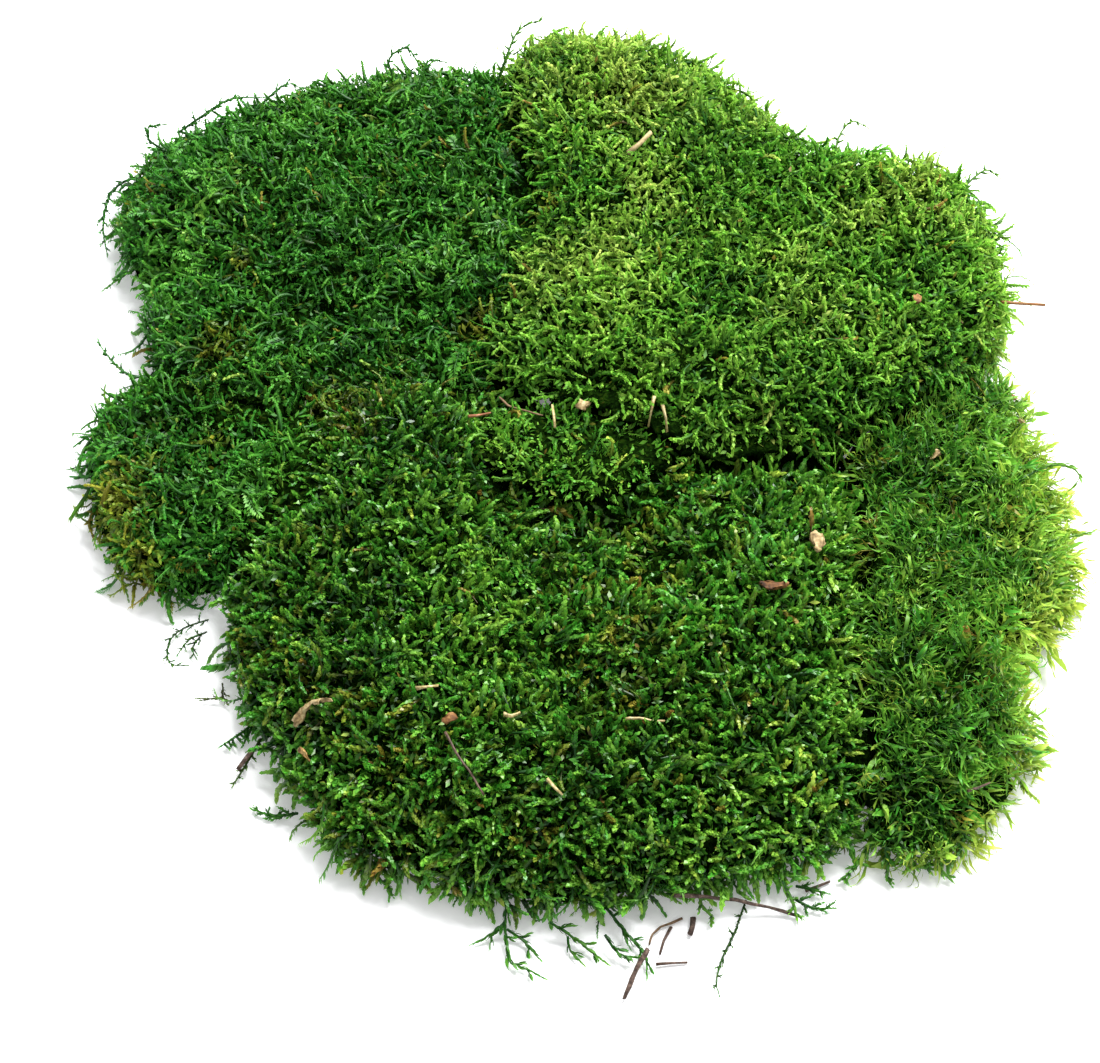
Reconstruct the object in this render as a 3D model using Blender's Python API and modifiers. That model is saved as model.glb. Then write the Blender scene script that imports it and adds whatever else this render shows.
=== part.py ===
"""A heap of overlapping sheet-moss pads with the twigs, needles and leaf scraps caught in them.

Plan: +X to the right, +Y to the back, +Z up, ground at Z = 0. Plan sizes are in millimetres and
are turned to metres by MM where a mesh is made. Each pad is a soft cushion that reaches the tips
of its shoots, cut flat on the ground and where it lies against the pads laid before it.
"""

import math
from dataclasses import dataclass

import bmesh
import bpy
from mathutils import Matrix, Vector, noise
from mathutils.bvhtree import BVHTree

MM = 0.001
GAP = 0.0003                 # clear space between pieces that rest on each other, in metres
COLLECTION = "moss_clump"
CUTTERS = "cutters"

# Share of the outline and of the shoulder height for each ring of a pad's side, from the ground up.
SIDE_RINGS = ((0.96, -0.35), (1.00, 0.40), (0.93, 0.90))
TOP_RINGS = (0.76, 0.52, 0.26)
LUMP_SPACING = 38.0          # mm between the soft lumps of a pad's top
LUMP_LAYER = 3.7             # which layer of the noise the lumps are read from
SOFT_EDGE = 0.45             # how much of the way to the middle a pad keeps rising
GROUND_SIDE = 600.0          # mm across the block that takes away what is below the ground
GROUND_DEPTH = 60.0          # mm


@dataclass(frozen=True)
class Pad:
    """One moss pad: its plan, its heights and the swells and dips of its top, in millimetres."""

    name: str
    colour: tuple
    outline: tuple               # control points of the plan, in order round it
    centre: tuple                # plan point that the rings shrink towards
    shoulder: float              # height of the rounded edge
    crown: float                 # height of the middle
    spokes: int                  # cage points round the outline
    lumps: float                 # height of the soft lumps
    swells: tuple = ()           # (x, y, rise, radius)
    lies_on: tuple = ()          # pads laid earlier that this one is cut by


PADS = (
    Pad(
        "back_left_mat", (0.020, 0.085, 0.016),
        ((-3, 163), (-45, 168), (-68, 169), (-92, 157), (-117, 149), (-139, 134), (-150, 115),
         (-148, 92), (-133, 71), (-132, 51), (-126, 24), (-96, 4), (-66, 6), (-40, 12),
         (-12, 18), (4, 46), (8, 92)),
        (-66, 80), 20.0, 27.0, 20, 3.0,
        swells=((-66, 40, -7.0, 24), (-44, 120, 4.0, 28), (-112, 102, 2.5, 26)),
    ),
    Pad(
        "left_lobe_mat", (0.030, 0.095, 0.018),
        ((-133, 37), (-145, 19), (-142, -1), (-139, -19), (-123, -38), (-103, -42), (-84, -30),
         (-64, -8), (-66, 20), (-98, 38)),
        (-104, -2), 14.0, 22.0, 16, 2.0,
        swells=((-84, -2, 3.0, 18),),
        lies_on=("back_left_mat",),
    ),
    Pad(
        "front_mat", (0.028, 0.110, 0.015),
        ((-72, 34), (-44, 40), (-15, 32), (14, 26), (44, 24), (74, 18), (94, 0), (95, -34),
         (90, -68), (87, -102), (72, -124), (47, -128.5), (22, -133.5), (0, -140),
         (-20, -138), (-33, -131), (-51, -129), (-69, -118), (-80, -99), (-88.5, -79),
         (-99, -64), (-104, -48), (-98, -24), (-90, 6)),
        (-4, -50), 17.0, 29.0, 24, 3.5,
        swells=((-50, 14, 8.0, 24), (-56, -20, 4.0, 26), (2, -24, -7.0, 16), (-18, -8, -6.0, 14),
                (24, -38, -5.0, 14), (52, -48, 5.0, 26), (-20, -76, 2.5, 30), (60, 2, -6.0, 20)),
        lies_on=("back_left_mat", "left_lobe_mat"),
    ),
    Pad(
        "right_leafy_mat", (0.045, 0.165, 0.014),
        ((72, 6), (96, 34), (131, 44), (137, 20), (139, -4), (146, -22), (141, -38), (134, -54),
         (113, -71), (129, -88), (115, -107), (100, -122), (77, -128), (67, -101), (74, -62),
         (72, -30)),
        (104, -48), 13.0, 24.0, 18, 2.5,
        swells=((108, 2, 3.0, 22), (100, -70, 2.0, 26)),
        lies_on=("front_mat",),
    ),
    Pad(
        "centre_tuft", (0.050, 0.150, 0.025),
        ((-34, 6), (-12, 16), (14, 14), (38, 4), (32, -14), (10, -24), (-14, -21), (-34, -10)),
        (0, -2), 25.0, 31.0, 14, 1.5,
        lies_on=("back_left_mat", "front_mat"),
    ),
    Pad(
        "top_right_mat", (0.090, 0.230, 0.012),
        ((-2, 184), (-20, 175), (-26, 148), (-20, 112), (-14, 88), (-22, 66), (-29, 46),
         (-28, 26), (-20, 10), (6, -4), (36, -14), (52, -13), (74, -2), (104, 14), (132, 35),
         (135, 56), (136, 84), (132, 108), (103, 120), (77, 112), (67, 137), (53, 154),
         (26, 171)),
        (46, 66), 32.0, 42.0, 24, 3.0,
        swells=((30, 110, 3.0, 30), (84, 60, -3.0, 26), (24, 30, 2.5, 26)),
        lies_on=("back_left_mat", "front_mat", "right_leafy_mat", "centre_tuft"),
    ),
)


@dataclass(frozen=True)
class Shred:
    """A thin round piece, such as a twig, needle or stem, laid along a plan route in millimetres."""

    name: str
    colour: tuple
    route: tuple                 # (x, y) points
    thickness: float             # mm at the thick end
    tip: float = 0.7             # share of the thickness left at the far end
    limp: bool = False           # follows what it lies on instead of bridging it


@dataclass(frozen=True)
class Scrap:
    """A flat piece, such as a chip of bark or a bit of leaf, laid with its middle at a plan point."""

    name: str
    colour: tuple
    place: tuple                 # (x, y) in mm
    size: tuple                  # (length, width, thickness) in mm
    turn: float                  # degrees about Z
    corners: int = 8


@dataclass(frozen=True)
class Frond:
    """A loose moss sprig that hangs off the edge and lies on the ground, flat across its route."""

    name: str
    route: tuple                 # (x, y, z) points in mm, from the pad outwards
    width: float                 # mm across at its widest
    thickness: float = 2.6


STRAW = (0.45, 0.30, 0.12)
PALE = (0.52, 0.40, 0.24)
RED_BROWN = (0.22, 0.07, 0.03)
DARK_BROWN = (0.06, 0.03, 0.015)
TAN = (0.35, 0.20, 0.10)
RUST = (0.38, 0.10, 0.03)
SPRIG_GREEN = (0.04, 0.12, 0.02)

SHREDS = (
    Shred("pale_stick", TAN, ((17, 95), (24, 103)), 1.7, tip=0.9),
    Shred("straw_left", STRAW, ((23, 6.5), (21, 0.5)), 0.9),
    Shred("straw_right", STRAW, ((25.2, 4.5), (26.8, -1)), 0.9),
    Shred("pale_stem", PALE, ((-5.6, 8.3), (-4.8, 0.1)), 0.9),
    Shred("red_twig", RED_BROWN, ((-29.5, 6.4), (-23.3, 9.5)), 0.9),
    Shred("dry_strand", STRAW, ((-21, 16.5), (-15, 8), (-8.4, 4.6)), 0.7, limp=True),
    Shred("dry_leaf", TAN, ((-73.6, -88.6), (-68.2, -83.8), (-64, -85.2)), 2.4, tip=0.25, limp=True),
    Shred("splinter", PALE, ((-41.6, -83.9), (-35.4, -83.2)), 1.2, tip=0.5),
    Shred("pale_curl", PALE, ((-18.4, -92.6), (-16.4, -92.6), (-14.6, -91.2)), 1.5, tip=0.6),
    Shred("long_needle", DARK_BROWN, ((-33.5, -96.6), (-29, -104.6), (-23, -113.2)), 0.8, limp=True),
    Shred("tan_stem", TAN, ((-7.8, -109.6), (-3.5, -112.8)), 1.1, tip=0.6),
    Shred("thin_stem", PALE, ((12.9, -92.4), (18, -91.6), (23.2, -92.4)), 0.7, limp=True),
    Shred("long_twig", DARK_BROWN, ((25, -132), (41.5, -131.5), (57.5, -134.5)), 1.3),
    Shred("dark_stub", DARK_BROWN, ((30.4, -135.2), (29.3, -139.4)), 1.6, tip=0.9),
    Shred("dark_needle", DARK_BROWN, ((59.6, -127.2), (66.2, -124.6)), 0.9),
    Shred("brown_needle", RED_BROWN, ((101.4, -107.8), (107.4, -104.8)), 0.9),
    Shred("front_twig", DARK_BROWN, ((18.3, -145.3), (15.7, -149.8), (12.1, -156.8)), 1.4),
    Shred("front_needle", RED_BROWN, ((20.2, -147.6), (28.4, -147.3)), 0.9),
    Shred("short_needle", RED_BROWN, ((24.4, -137.4), (21.2, -145)), 0.9),
    Shred("bent_straw", TAN, ((27.6, -134.8), (21.2, -138), (18.8, -142.5)), 0.8, limp=True),
    Shred("left_twig", DARK_BROWN, ((-86.4, -87.9), (-89.7, -93.2)), 1.3, tip=0.9),
)
SCRAPS = (
    Scrap("leaf_flake", TAN, (2.6, 7.8), (4.2, 3.4, 0.6), 30.0, 7),
    Scrap("bark_chip", TAN, (53, -53), (8.6, 2.2, 1.0), -2.0),
    Scrap("brown_leaf", RED_BROWN, (66.5, -37), (8.6, 3.2, 0.7), 84.0),
    Scrap("pale_flake", PALE, (103, -4.9), (4.4, 1.9, 0.6), 25.0, 7),
    Scrap("rusty_strip", RUST, (-70.6, -96.4), (4.8, 1.5, 0.5), -50.0, 7),
    Scrap("orange_chip", RUST, (99.9, 42), (3.0, 2.8, 0.8), 10.0, 7),
    Scrap("orange_flake", RUST, (130, 25), (2.8, 1.9, 0.6), 70.0, 7),
    Scrap("brown_flake", RUST, (131, 14), (2.6, 1.8, 0.6), 100.0, 7),
    Scrap("rusty_chip", RUST, (-32, -92.6), (4.6, 2.4, 0.6), 14.0, 7),
)
FRONDS = (
    Frond("hanging_frond", ((-18, -141, 4.5), (-17.4, -144, 2.2), (-15, -148.5, 1.6),
                            (-8.8, -151.8, 1.6)), 9.0),
    Frond("middle_frond", ((-4, -144, 4), (1, -145.6, 2.2), (7, -148.4, 1.6)), 6.0),
    Frond("front_frond", ((9, -142, 4), (13, -143.4, 2.2), (16.6, -147, 1.6), (17.2, -151, 1.6)),
          5.0),
    Frond("long_strand", ((44, -136, 1.6), (40.8, -141, 1.6), (37.1, -147.6, 1.6),
                          (35.7, -152.5, 1.6), (36.4, -156, 1.6)), 3.2, 1.8),
    Frond("right_sprig", ((58.5, -131.5, 2.0), (62, -132.3, 1.7), (66.4, -132.6, 1.6)), 4.6),
    Frond("left_fern_frond", ((-91.6, -82.6, 3.6), (-93.8, -84.2, 2), (-98.2, -86.6, 1.6)), 6.0),
    Frond("left_strand", ((-86, -89.6, 2.2), (-88.4, -93, 1.6), (-91.6, -98, 1.6)), 2.6, 1.8),
    Frond("left_loop_frond", ((-107, -46.4, 3), (-110, -47.8, 1.9), (-112.6, -51, 1.6),
                              (-112.9, -55.4, 1.6), (-110.6, -59.4, 1.6), (-106.8, -59.6, 1.6)),
          2.4, 1.8),
    Frond("left_wiry_sprig", ((-98.6, -70, 2.0), (-101, -71, 1.6), (-104.8, -71.2, 1.6)), 2.2, 1.8),
    Frond("left_wisp", ((-81.4, -106.2, 2.2), (-84, -105.4, 1.6), (-88, -104, 1.6)), 3.2, 1.8),
)
STUCK_NEEDLE = Shred("rust_needle", RUST, ((124, 56), (142, 54.5)), 1.1, tip=0.8)
STUCK_HEIGHT = 22.0          # mm above the ground where the needle leaves its pad
STUCK_IN = "top_right_mat"
TUBE_POINTS = 5
TUBE_SAMPLES = 15            # places along a piece where its height is tested
TUBE_ROUNDNESS = 1           # bevel resolution of a thin piece
LOOK_ROUND = 8               # places round a point where the pile's height is read
EASING_PASSES = 6            # how often a limp piece's heights are evened out
TOUCHING = 1e-6              # metres or less between points that count as one
RAGGED = 0.28                # how far a scrap's edge strays from an oval, as a share
RAGGED_SCALE = 9.0           # how quickly it strays round the scrap
FROND_PROFILE_SIDES = 8
FROND_TAPER = (0.45, 0.9, 1.0, 0.8, 0.3)


def collection(name, hidden=False):
    """A new collection under the scene's own."""
    made = bpy.data.collections.new(name)
    bpy.context.scene.collection.children.link(made)
    made.hide_render = hidden
    return made


def finish(name, colour, roughness=0.85):
    """A Principled material of one colour."""
    made = bpy.data.materials.new(name)
    made.use_nodes = True
    shader = made.node_tree.nodes["Principled BSDF"]
    shader.inputs["Base Color"].default_value = (*colour, 1.0)
    shader.inputs["Roughness"].default_value = roughness
    shader.inputs["Metallic"].default_value = 0.0
    return made


def add_object(name, data, home):
    """An object that holds this mesh or curve, linked to a collection."""
    made = bpy.data.objects.new(name, data)
    home.objects.link(made)
    return made


def as_cutter(obj):
    """Mark a helper that cuts other pieces."""
    obj.hide_render = True
    obj.display_type = "WIRE"
    return obj


def catmull_rom(before, start, end, after, share):
    """The point this share of the way from start to end."""
    return 0.5 * (
        2 * start
        + (end - before) * share
        + (2 * before - 5 * start + 4 * end - after) * share ** 2
        + (3 * start - before - 3 * end + after) * share ** 3
    )


def curve_through(points, closed):
    """A fine line of points on a Catmull-Rom curve through these points."""
    fine_steps = 12
    held = [Vector(p) for p in points]
    held = [held[-1], *held, held[0], held[1]] if closed else [held[0], *held, held[-1]]
    fine = []
    for i in range(1, len(held) - 2):
        for step in range(fine_steps):
            fine.append(catmull_rom(*held[i - 1:i + 3], step / fine_steps))
    fine.append(held[-2].copy())
    return fine


def even_points(line, count):
    """This many points at equal distances along a line of points."""
    lengths = [0.0]
    for a, b in zip(line, line[1:]):
        lengths.append(lengths[-1] + (b - a).length)
    found = []
    at = 0
    for i in range(count):
        want = lengths[-1] * i / (count - 1)
        while at < len(line) - 2 and lengths[at + 1] < want:
            at += 1
        span = max(lengths[at + 1] - lengths[at], TOUCHING)
        found.append(line[at].lerp(line[at + 1], min(1.0, (want - lengths[at]) / span)))
    return found


def top_height(pad, x, y, share):
    """Height of a pad's top at a plan point that is this share of the way out to its outline."""
    climb = min(1.0, (1.0 - share) / SOFT_EDGE)
    height = pad.shoulder + (pad.crown - pad.shoulder) * math.sin(climb * math.pi / 2)
    height += pad.lumps * noise.noise(Vector((x / LUMP_SPACING, y / LUMP_SPACING, LUMP_LAYER)))
    for cx, cy, rise, radius in pad.swells:
        height += rise * math.exp(-((x - cx) ** 2 + (y - cy) ** 2) / radius ** 2)
    return height


def ring_edges(ring):
    """The edges that join these points into a closed ring."""
    members = set(ring)
    return list({e for vert in ring for e in vert.link_edges if e.other_vert(vert) in members})


def extruded_ring(cage, ring):
    """The ring extruded from this one, its points in the same order."""
    made = bmesh.ops.extrude_edge_only(cage, edges=ring_edges(ring))["geom"]
    fresh = {item for item in made if isinstance(item, bmesh.types.BMVert)}
    return [next(e.other_vert(v) for e in v.link_edges if e.other_vert(v) in fresh) for v in ring]


def pad_mesh(pad):
    """The coarse cage of a pad: rings of the outline, extruded one from the next, and two caps."""
    cage = bmesh.new()
    ring = bmesh.ops.create_circle(cage, segments=pad.spokes, radius=1.0)["verts"]
    rim = even_points(curve_through(pad.outline, closed=True), pad.spokes + 1)[:-1]
    centre = Vector(pad.centre)
    levels = [(share, level * pad.shoulder) for share, level in SIDE_RINGS]
    levels += [(share, None) for share in TOP_RINGS]
    for number, (share, height) in enumerate(levels):
        if number:
            ring = extruded_ring(cage, ring)
        for vert, edge_point in zip(ring, rim):
            x, y = centre.lerp(edge_point, share)
            z = top_height(pad, x, y, share) if height is None else height
            vert.co = Vector((x, y, z)) * MM
    bottom = [e for e in cage.edges if e.is_boundary and e.verts[0].co.z < 0]
    for open_edges in (ring_edges(ring), bottom):
        cap = bmesh.ops.contextual_create(cage, geom=open_edges)["faces"]
        middle = bmesh.ops.poke(cage, faces=cap)["verts"][0]
        if middle.co.z > 0:
            middle.co = Vector((*centre, top_height(pad, *centre, 0.0))) * MM
    bmesh.ops.recalc_face_normals(cage, faces=cage.faces)
    mesh = bpy.data.meshes.new(pad.name)
    cage.to_mesh(mesh)
    cage.free()
    mesh.shade_smooth()
    return mesh


def soften(obj):
    """One level of Subdivision Surface, the same in the viewport and in a render."""
    smooth = obj.modifiers.new("soft_form", "SUBSURF")
    smooth.levels = 1
    smooth.render_levels = 1


def grown_copy(pad_object, home):
    """A cutter: the pad's soft form swollen by the gap that resting pieces keep."""
    cutter = as_cutter(add_object(pad_object.name + "_grown", pad_object.data, home))
    soften(cutter)
    swell = cutter.modifiers.new("gap", "DISPLACE")
    swell.mid_level = 0.0
    swell.strength = GAP
    return cutter


def cut(obj, cutter):
    """Take the cutter's space out of the object."""
    boolean = obj.modifiers.new("cut_by_" + cutter.name, "BOOLEAN")
    boolean.operation = "DIFFERENCE"
    boolean.solver = "EXACT"
    boolean.object = cutter


def ground_block(home):
    """A cutter that fills the space below the ground."""
    side, depth = GROUND_SIDE * MM, GROUND_DEPTH * MM
    bpy.ops.mesh.primitive_cube_add(size=1.0)
    block = as_cutter(bpy.context.object)
    block.name = "ground_cutter"
    block.data.transform(Matrix.Diagonal((side, side, depth, 1.0)))
    block.data.transform(Matrix.Translation((0, 0, -depth / 2)))
    for old in list(block.users_collection):
        old.objects.unlink(block)
    home.objects.link(block)
    return block


def lay_pads(home, cutters):
    """The pads in the order they were laid, each cut flat on the ground and by those under it."""
    ground = ground_block(cutters)
    grown = {}
    for pad in PADS:
        obj = add_object(pad.name, pad_mesh(pad), home)
        obj.data.materials.append(finish(pad.name, pad.colour))
        soften(obj)
        cut(obj, ground)
        for below in pad.lies_on:
            cut(obj, grown[below])
        grown[pad.name] = grown_copy(obj, cutters)


class Pile:
    """What has been laid so far, to find how high the next piece lies on it."""

    def __init__(self, objects):
        self.trees = []
        for obj in objects:
            self.add(obj)

    def add(self, obj):
        """Take in one more object, as its modifiers leave it."""
        bpy.context.view_layer.update()
        graph = bpy.context.evaluated_depsgraph_get()
        evaluated = obj.evaluated_get(graph)
        mesh = evaluated.to_mesh()
        points = [obj.matrix_world @ vert.co for vert in mesh.vertices]
        self.trees.append(BVHTree.FromPolygons(points, [p.vertices[:] for p in mesh.polygons]))
        evaluated.to_mesh_clear()

    def height(self, x, y):
        """Height in metres of the top of the pile at this place in metres, or 0 on the ground."""
        above = Vector((x, y, 1.0))
        hits = [tree.ray_cast(above, Vector((0, 0, -1)))[0] for tree in self.trees]
        return max([hit.z for hit in hits if hit], default=0.0)

    def clear_height(self, x, y, reach):
        """The pile's highest point within this reach of a place, in metres."""
        turns = [2 * math.pi * i / LOOK_ROUND for i in range(LOOK_ROUND)]
        around = [self.height(x + reach * math.cos(t), y + reach * math.sin(t)) for t in turns]
        return max(around + [self.height(x, y)])


def bridging_heights(needed):
    """Heights of a stiff piece that rests on the two highest supports either side of its middle."""
    last = len(needed) - 1
    for left in range(last // 2 + 1):
        for right in range(last, last // 2, -1):
            slope = (needed[right] - needed[left]) / (right - left)
            line = [needed[left] + slope * (i - left) for i in range(last + 1)]
            if all(at >= want - TOUCHING for at, want in zip(line, needed)):
                return line
    return [max(needed)] * len(needed)


def draped_heights(needed):
    """Heights of a limp piece: eased between its supports, and never under them."""
    line = list(needed)
    for _ in range(EASING_PASSES):
        eased = [(line[max(i - 1, 0)] + line[i] + line[min(i + 1, len(line) - 1)]) / 3
                 for i in range(len(line))]
        line = [max(want, at) for want, at in zip(needed, eased)]
    return line


def tube(name, points, radii, home, profile=None):
    """A curve object through these points, in metres, with a radius at each and filled caps."""
    data = bpy.data.curves.new(name, "CURVE")
    data.dimensions = "3D"
    data.twist_mode = "Z_UP"
    data.use_fill_caps = True
    if profile:
        data.bevel_mode = "OBJECT"
        data.bevel_object = profile
    else:
        data.bevel_depth = 1.0      # so that a point's radius is in metres
        data.bevel_resolution = TUBE_ROUNDNESS
    spline = data.splines.new("POLY")
    spline.points.add(len(points) - 1)
    for knot, point, radius in zip(spline.points, points, radii):
        knot.co = (*point, 1.0)
        knot.radius = radius
    return add_object(name, data, home)


def shred_radii(shred):
    """The radius of a shred at each point of its tube, in metres."""
    return [shred.thickness / 2 * MM * (1 + (shred.tip - 1) * i / (TUBE_POINTS - 1))
            for i in range(TUBE_POINTS)]


def lay_shred(shred, home, pile):
    """A twig, needle or stem where it comes to lie on the pile."""
    radius = shred.thickness / 2 * MM
    fine = [p * MM for p in even_points(curve_through(shred.route, closed=False), TUBE_SAMPLES)]
    needed = [pile.clear_height(x, y, radius) + radius + GAP for x, y in fine]
    heights = draped_heights(needed) if shred.limp else bridging_heights(needed)
    line = [Vector((*place, z)) for place, z in zip(fine, heights)]
    obj = tube(shred.name, even_points(line, TUBE_POINTS), shred_radii(shred), home)
    obj.data.materials.append(finish(shred.name, shred.colour))
    pile.add(obj)


def lay_scrap(scrap, home, pile):
    """A flat chip, tilted with the pile under it and just clear of it."""
    length, width, thickness = (side * MM for side in scrap.size)
    plate = bmesh.new()
    bmesh.ops.create_circle(plate, cap_ends=True, segments=scrap.corners, radius=0.5)
    for vert in plate.verts:
        stray = 1.0 + RAGGED * noise.noise(vert.co * RAGGED_SCALE + Vector((*scrap.place, 0.0)))
        vert.co = Vector((vert.co.x * length, vert.co.y * width, 0.0)) * stray
    grown = bmesh.ops.extrude_face_region(plate, geom=plate.faces[:])["geom"]
    top = [item for item in grown if isinstance(item, bmesh.types.BMVert)]
    bmesh.ops.translate(plate, verts=top, vec=(0, 0, thickness))
    bmesh.ops.recalc_face_normals(plate, faces=plate.faces)
    x, y = (side * MM for side in scrap.place)
    reach = length / 2
    rise_x = pile.height(x + reach, y) - pile.height(x - reach, y)
    rise_y = pile.height(x, y + reach) - pile.height(x, y - reach)
    up = Vector((-rise_x, -rise_y, 2 * reach)).normalized()
    tilt = Vector((0, 0, 1)).rotation_difference(up).to_matrix().to_4x4()
    turn = Matrix.Rotation(math.radians(scrap.turn), 4, "Z")
    plate.transform(Matrix.Translation((x, y, 0)) @ tilt @ turn)
    lift = max(pile.clear_height(v.co.x, v.co.y, width / 4) - v.co.z for v in plate.verts
               if v not in top)
    lift = max(lift, pile.clear_height(x, y, width / 2) - min(v.co.z for v in plate.verts) / 2)
    bmesh.ops.translate(plate, verts=plate.verts, vec=(0, 0, lift + GAP))
    mesh = bpy.data.meshes.new(scrap.name)
    plate.to_mesh(mesh)
    plate.free()
    mesh.materials.append(finish(scrap.name, scrap.colour))
    pile.add(add_object(scrap.name, mesh, home))


def frond_profile(width, thickness, home):
    """A flat oval section for a frond."""
    data = bpy.data.curves.new("oval_section", "CURVE")
    data.dimensions = "2D"
    spline = data.splines.new("POLY")
    spline.points.add(FROND_PROFILE_SIDES - 1)
    for i, knot in enumerate(spline.points):
        turn = -2 * math.pi * i / FROND_PROFILE_SIDES
        knot.co = (width / 2 * math.cos(turn), thickness / 2 * math.sin(turn), 0, 1)
    spline.use_cyclic_u = True
    return as_cutter(add_object("oval_section", data, home))


def hang_frond(frond, home, cutters, pile):
    """A loose sprig from the edge of its pad down to the ground."""
    profile = frond_profile(frond.width * MM, frond.thickness * MM, cutters)
    line = even_points(curve_through(frond.route, closed=False), len(FROND_TAPER))
    obj = tube(frond.name, [p * MM for p in line], FROND_TAPER, home, profile)
    obj.data.materials.append(finish(frond.name, SPRIG_GREEN))
    pile.add(obj)


def stick_needle(home, cutters):
    """The needle that stands out of the top pad's side, in a hole that it fills."""
    start, end = (Vector((*place, STUCK_HEIGHT)) * MM for place in STUCK_NEEDLE.route)
    line = even_points([start, end], TUBE_POINTS)
    radii = shred_radii(STUCK_NEEDLE)
    obj = tube(STUCK_NEEDLE.name, line, radii, home)
    obj.data.materials.append(finish(STUCK_NEEDLE.name, STUCK_NEEDLE.colour))
    along = (end - start).normalized() * GAP
    hole = tube("needle_hole", [start - along, *line[1:-1], end + along],
                [radius + GAP for radius in radii], cutters)
    graph = bpy.context.evaluated_depsgraph_get()
    mesh = bpy.data.meshes.new_from_object(hole.evaluated_get(graph))
    closed = bmesh.new()
    closed.from_mesh(mesh)
    bmesh.ops.remove_doubles(closed, verts=closed.verts, dist=TOUCHING)
    closed.to_mesh(mesh)
    closed.free()
    bpy.data.objects.remove(hole, do_unlink=True)
    cut(bpy.data.objects[STUCK_IN], as_cutter(add_object("needle_hole_cutter", mesh, cutters)))


def evaluated_points(obj, graph):
    """The object's points in the world, as its modifiers leave them."""
    evaluated = obj.evaluated_get(graph)
    points = [obj.matrix_world @ vert.co for vert in evaluated.to_mesh().vertices]
    evaluated.to_mesh_clear()
    return points


def centre_on_origin(objects, home):
    """Hang everything on one empty, placed so that the heap stands centred on the origin."""
    bpy.context.view_layer.update()
    graph = bpy.context.evaluated_depsgraph_get()
    points = [point for obj in home.objects for point in evaluated_points(obj, graph)]
    base = bpy.data.objects.new("heap_base", None)
    home.objects.link(base)
    for axis in range(2):
        sides = [point[axis] for point in points]
        base.location[axis] = -(min(sides) + max(sides)) / 2
    for obj in objects:
        obj.parent = base


def main():
    """Build the heap from the ground up."""
    for obj in list(bpy.data.objects):
        bpy.data.objects.remove(obj, do_unlink=True)
    home = collection(COLLECTION)
    cutters = collection(CUTTERS, hidden=True)
    lay_pads(home, cutters)
    stick_needle(home, cutters)
    pile = Pile(home.objects)
    for scrap in SCRAPS:
        lay_scrap(scrap, home, pile)
    for frond in FRONDS:
        hang_frond(frond, home, cutters, pile)
    for shred in SHREDS:
        lay_shred(shred, home, pile)
    centre_on_origin([*home.objects, *cutters.objects], home)


main()
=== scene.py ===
"""The looks of a heap of overlapping sheet-moss mats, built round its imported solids.

Every mat is covered with single leafy shoots over a felt of dead stems. Loose sprigs hang off the
edge, and twigs, needles, straws and scraps of bark and leaf are caught on top. Lengths are in
millimetres until a mesh is made, with +X to the right, +Y to the back and +Z up.
"""

import logging
import math
from dataclasses import dataclass, replace
from enum import Enum
from typing import Iterable, Optional, Sequence, Union

import bmesh
import bpy
import numpy as np
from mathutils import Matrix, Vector, noise
from mathutils.bvhtree import BVHTree
from mathutils.kdtree import KDTree


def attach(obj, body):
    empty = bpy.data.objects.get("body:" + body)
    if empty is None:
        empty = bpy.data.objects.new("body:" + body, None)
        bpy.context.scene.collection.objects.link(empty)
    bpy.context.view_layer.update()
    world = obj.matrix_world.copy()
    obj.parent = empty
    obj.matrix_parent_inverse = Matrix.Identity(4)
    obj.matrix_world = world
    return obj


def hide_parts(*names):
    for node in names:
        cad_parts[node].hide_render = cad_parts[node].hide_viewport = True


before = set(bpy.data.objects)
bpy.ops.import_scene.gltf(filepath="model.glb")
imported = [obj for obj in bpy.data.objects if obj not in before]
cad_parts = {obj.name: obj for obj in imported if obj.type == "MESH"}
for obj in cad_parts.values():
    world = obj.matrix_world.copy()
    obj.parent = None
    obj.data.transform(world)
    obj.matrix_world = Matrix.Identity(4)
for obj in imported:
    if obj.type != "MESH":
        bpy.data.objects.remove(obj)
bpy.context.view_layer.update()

LOG = logging.getLogger("moss_heap")
MM = 0.001
BODY = "root"
PLAN_ORIGIN = np.array((1.76, -10.52))   # mm in the frame where the plan of the mats has its origin
COLOUR_MAP = "OFBake"          # the pieces' own map: from a shoot's foot to its tip, and its tone
VARIANTS = 8                   # different plants of each kind of shoot
GOLDEN_TURN = math.radians(137.5)   # from one leaf to the next round a stem
MERGE = 0.01                   # mm within which doubled corners are merged
EASE = 1.0                     # mm above the ground where dipping leaves start to bend up
NOISE_GAIN = 1.6               # brings smooth noise to about -1 to 1
JUST_INSIDE = 0.05             # mm below a surface where a ray starts
GROUND_CLEARANCE = 0.25        # mm between the lowest leaf and the ground
LEAF_TONE_SPREAD = 0.035       # how far the leaves of one shoot differ in tone
SIDE_TONE = 0.012              # tone from a leaf's middle to its edge
COVER_AHEAD = 0.6              # mm in front of a mat within which another mat hides it
COVER_ABOVE = 0.8              # mm straight above
FELT_CONTACT = 0.8             # mm that the felt stays back where two mats touch
FELT_SHARE = 0.42              # share of a thin mat's thickness down to which its felt may sink
THIN_SHARE = 0.22              # and its shoots' tips
UNDERSIDE = -0.6               # lowest upward part of a normal where shoots still grow
SEAT_TRIES = 5.0               # points tried in each square of the spacing
ROOT_DEPTH = 1.2               # mm that every shoot's foot is below the surface at least
DEAD_SHARE = 0.012             # share of dead brown shoots, and of very pale ones
WARP_SEED = 3                  # what sets the litter's warping, the same in every run
FROND_SEED = 7                 # and the loose fronds' leaves
Stops = tuple[tuple[float, str], ...]
Route = tuple[tuple[float, float, float], ...]


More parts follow.
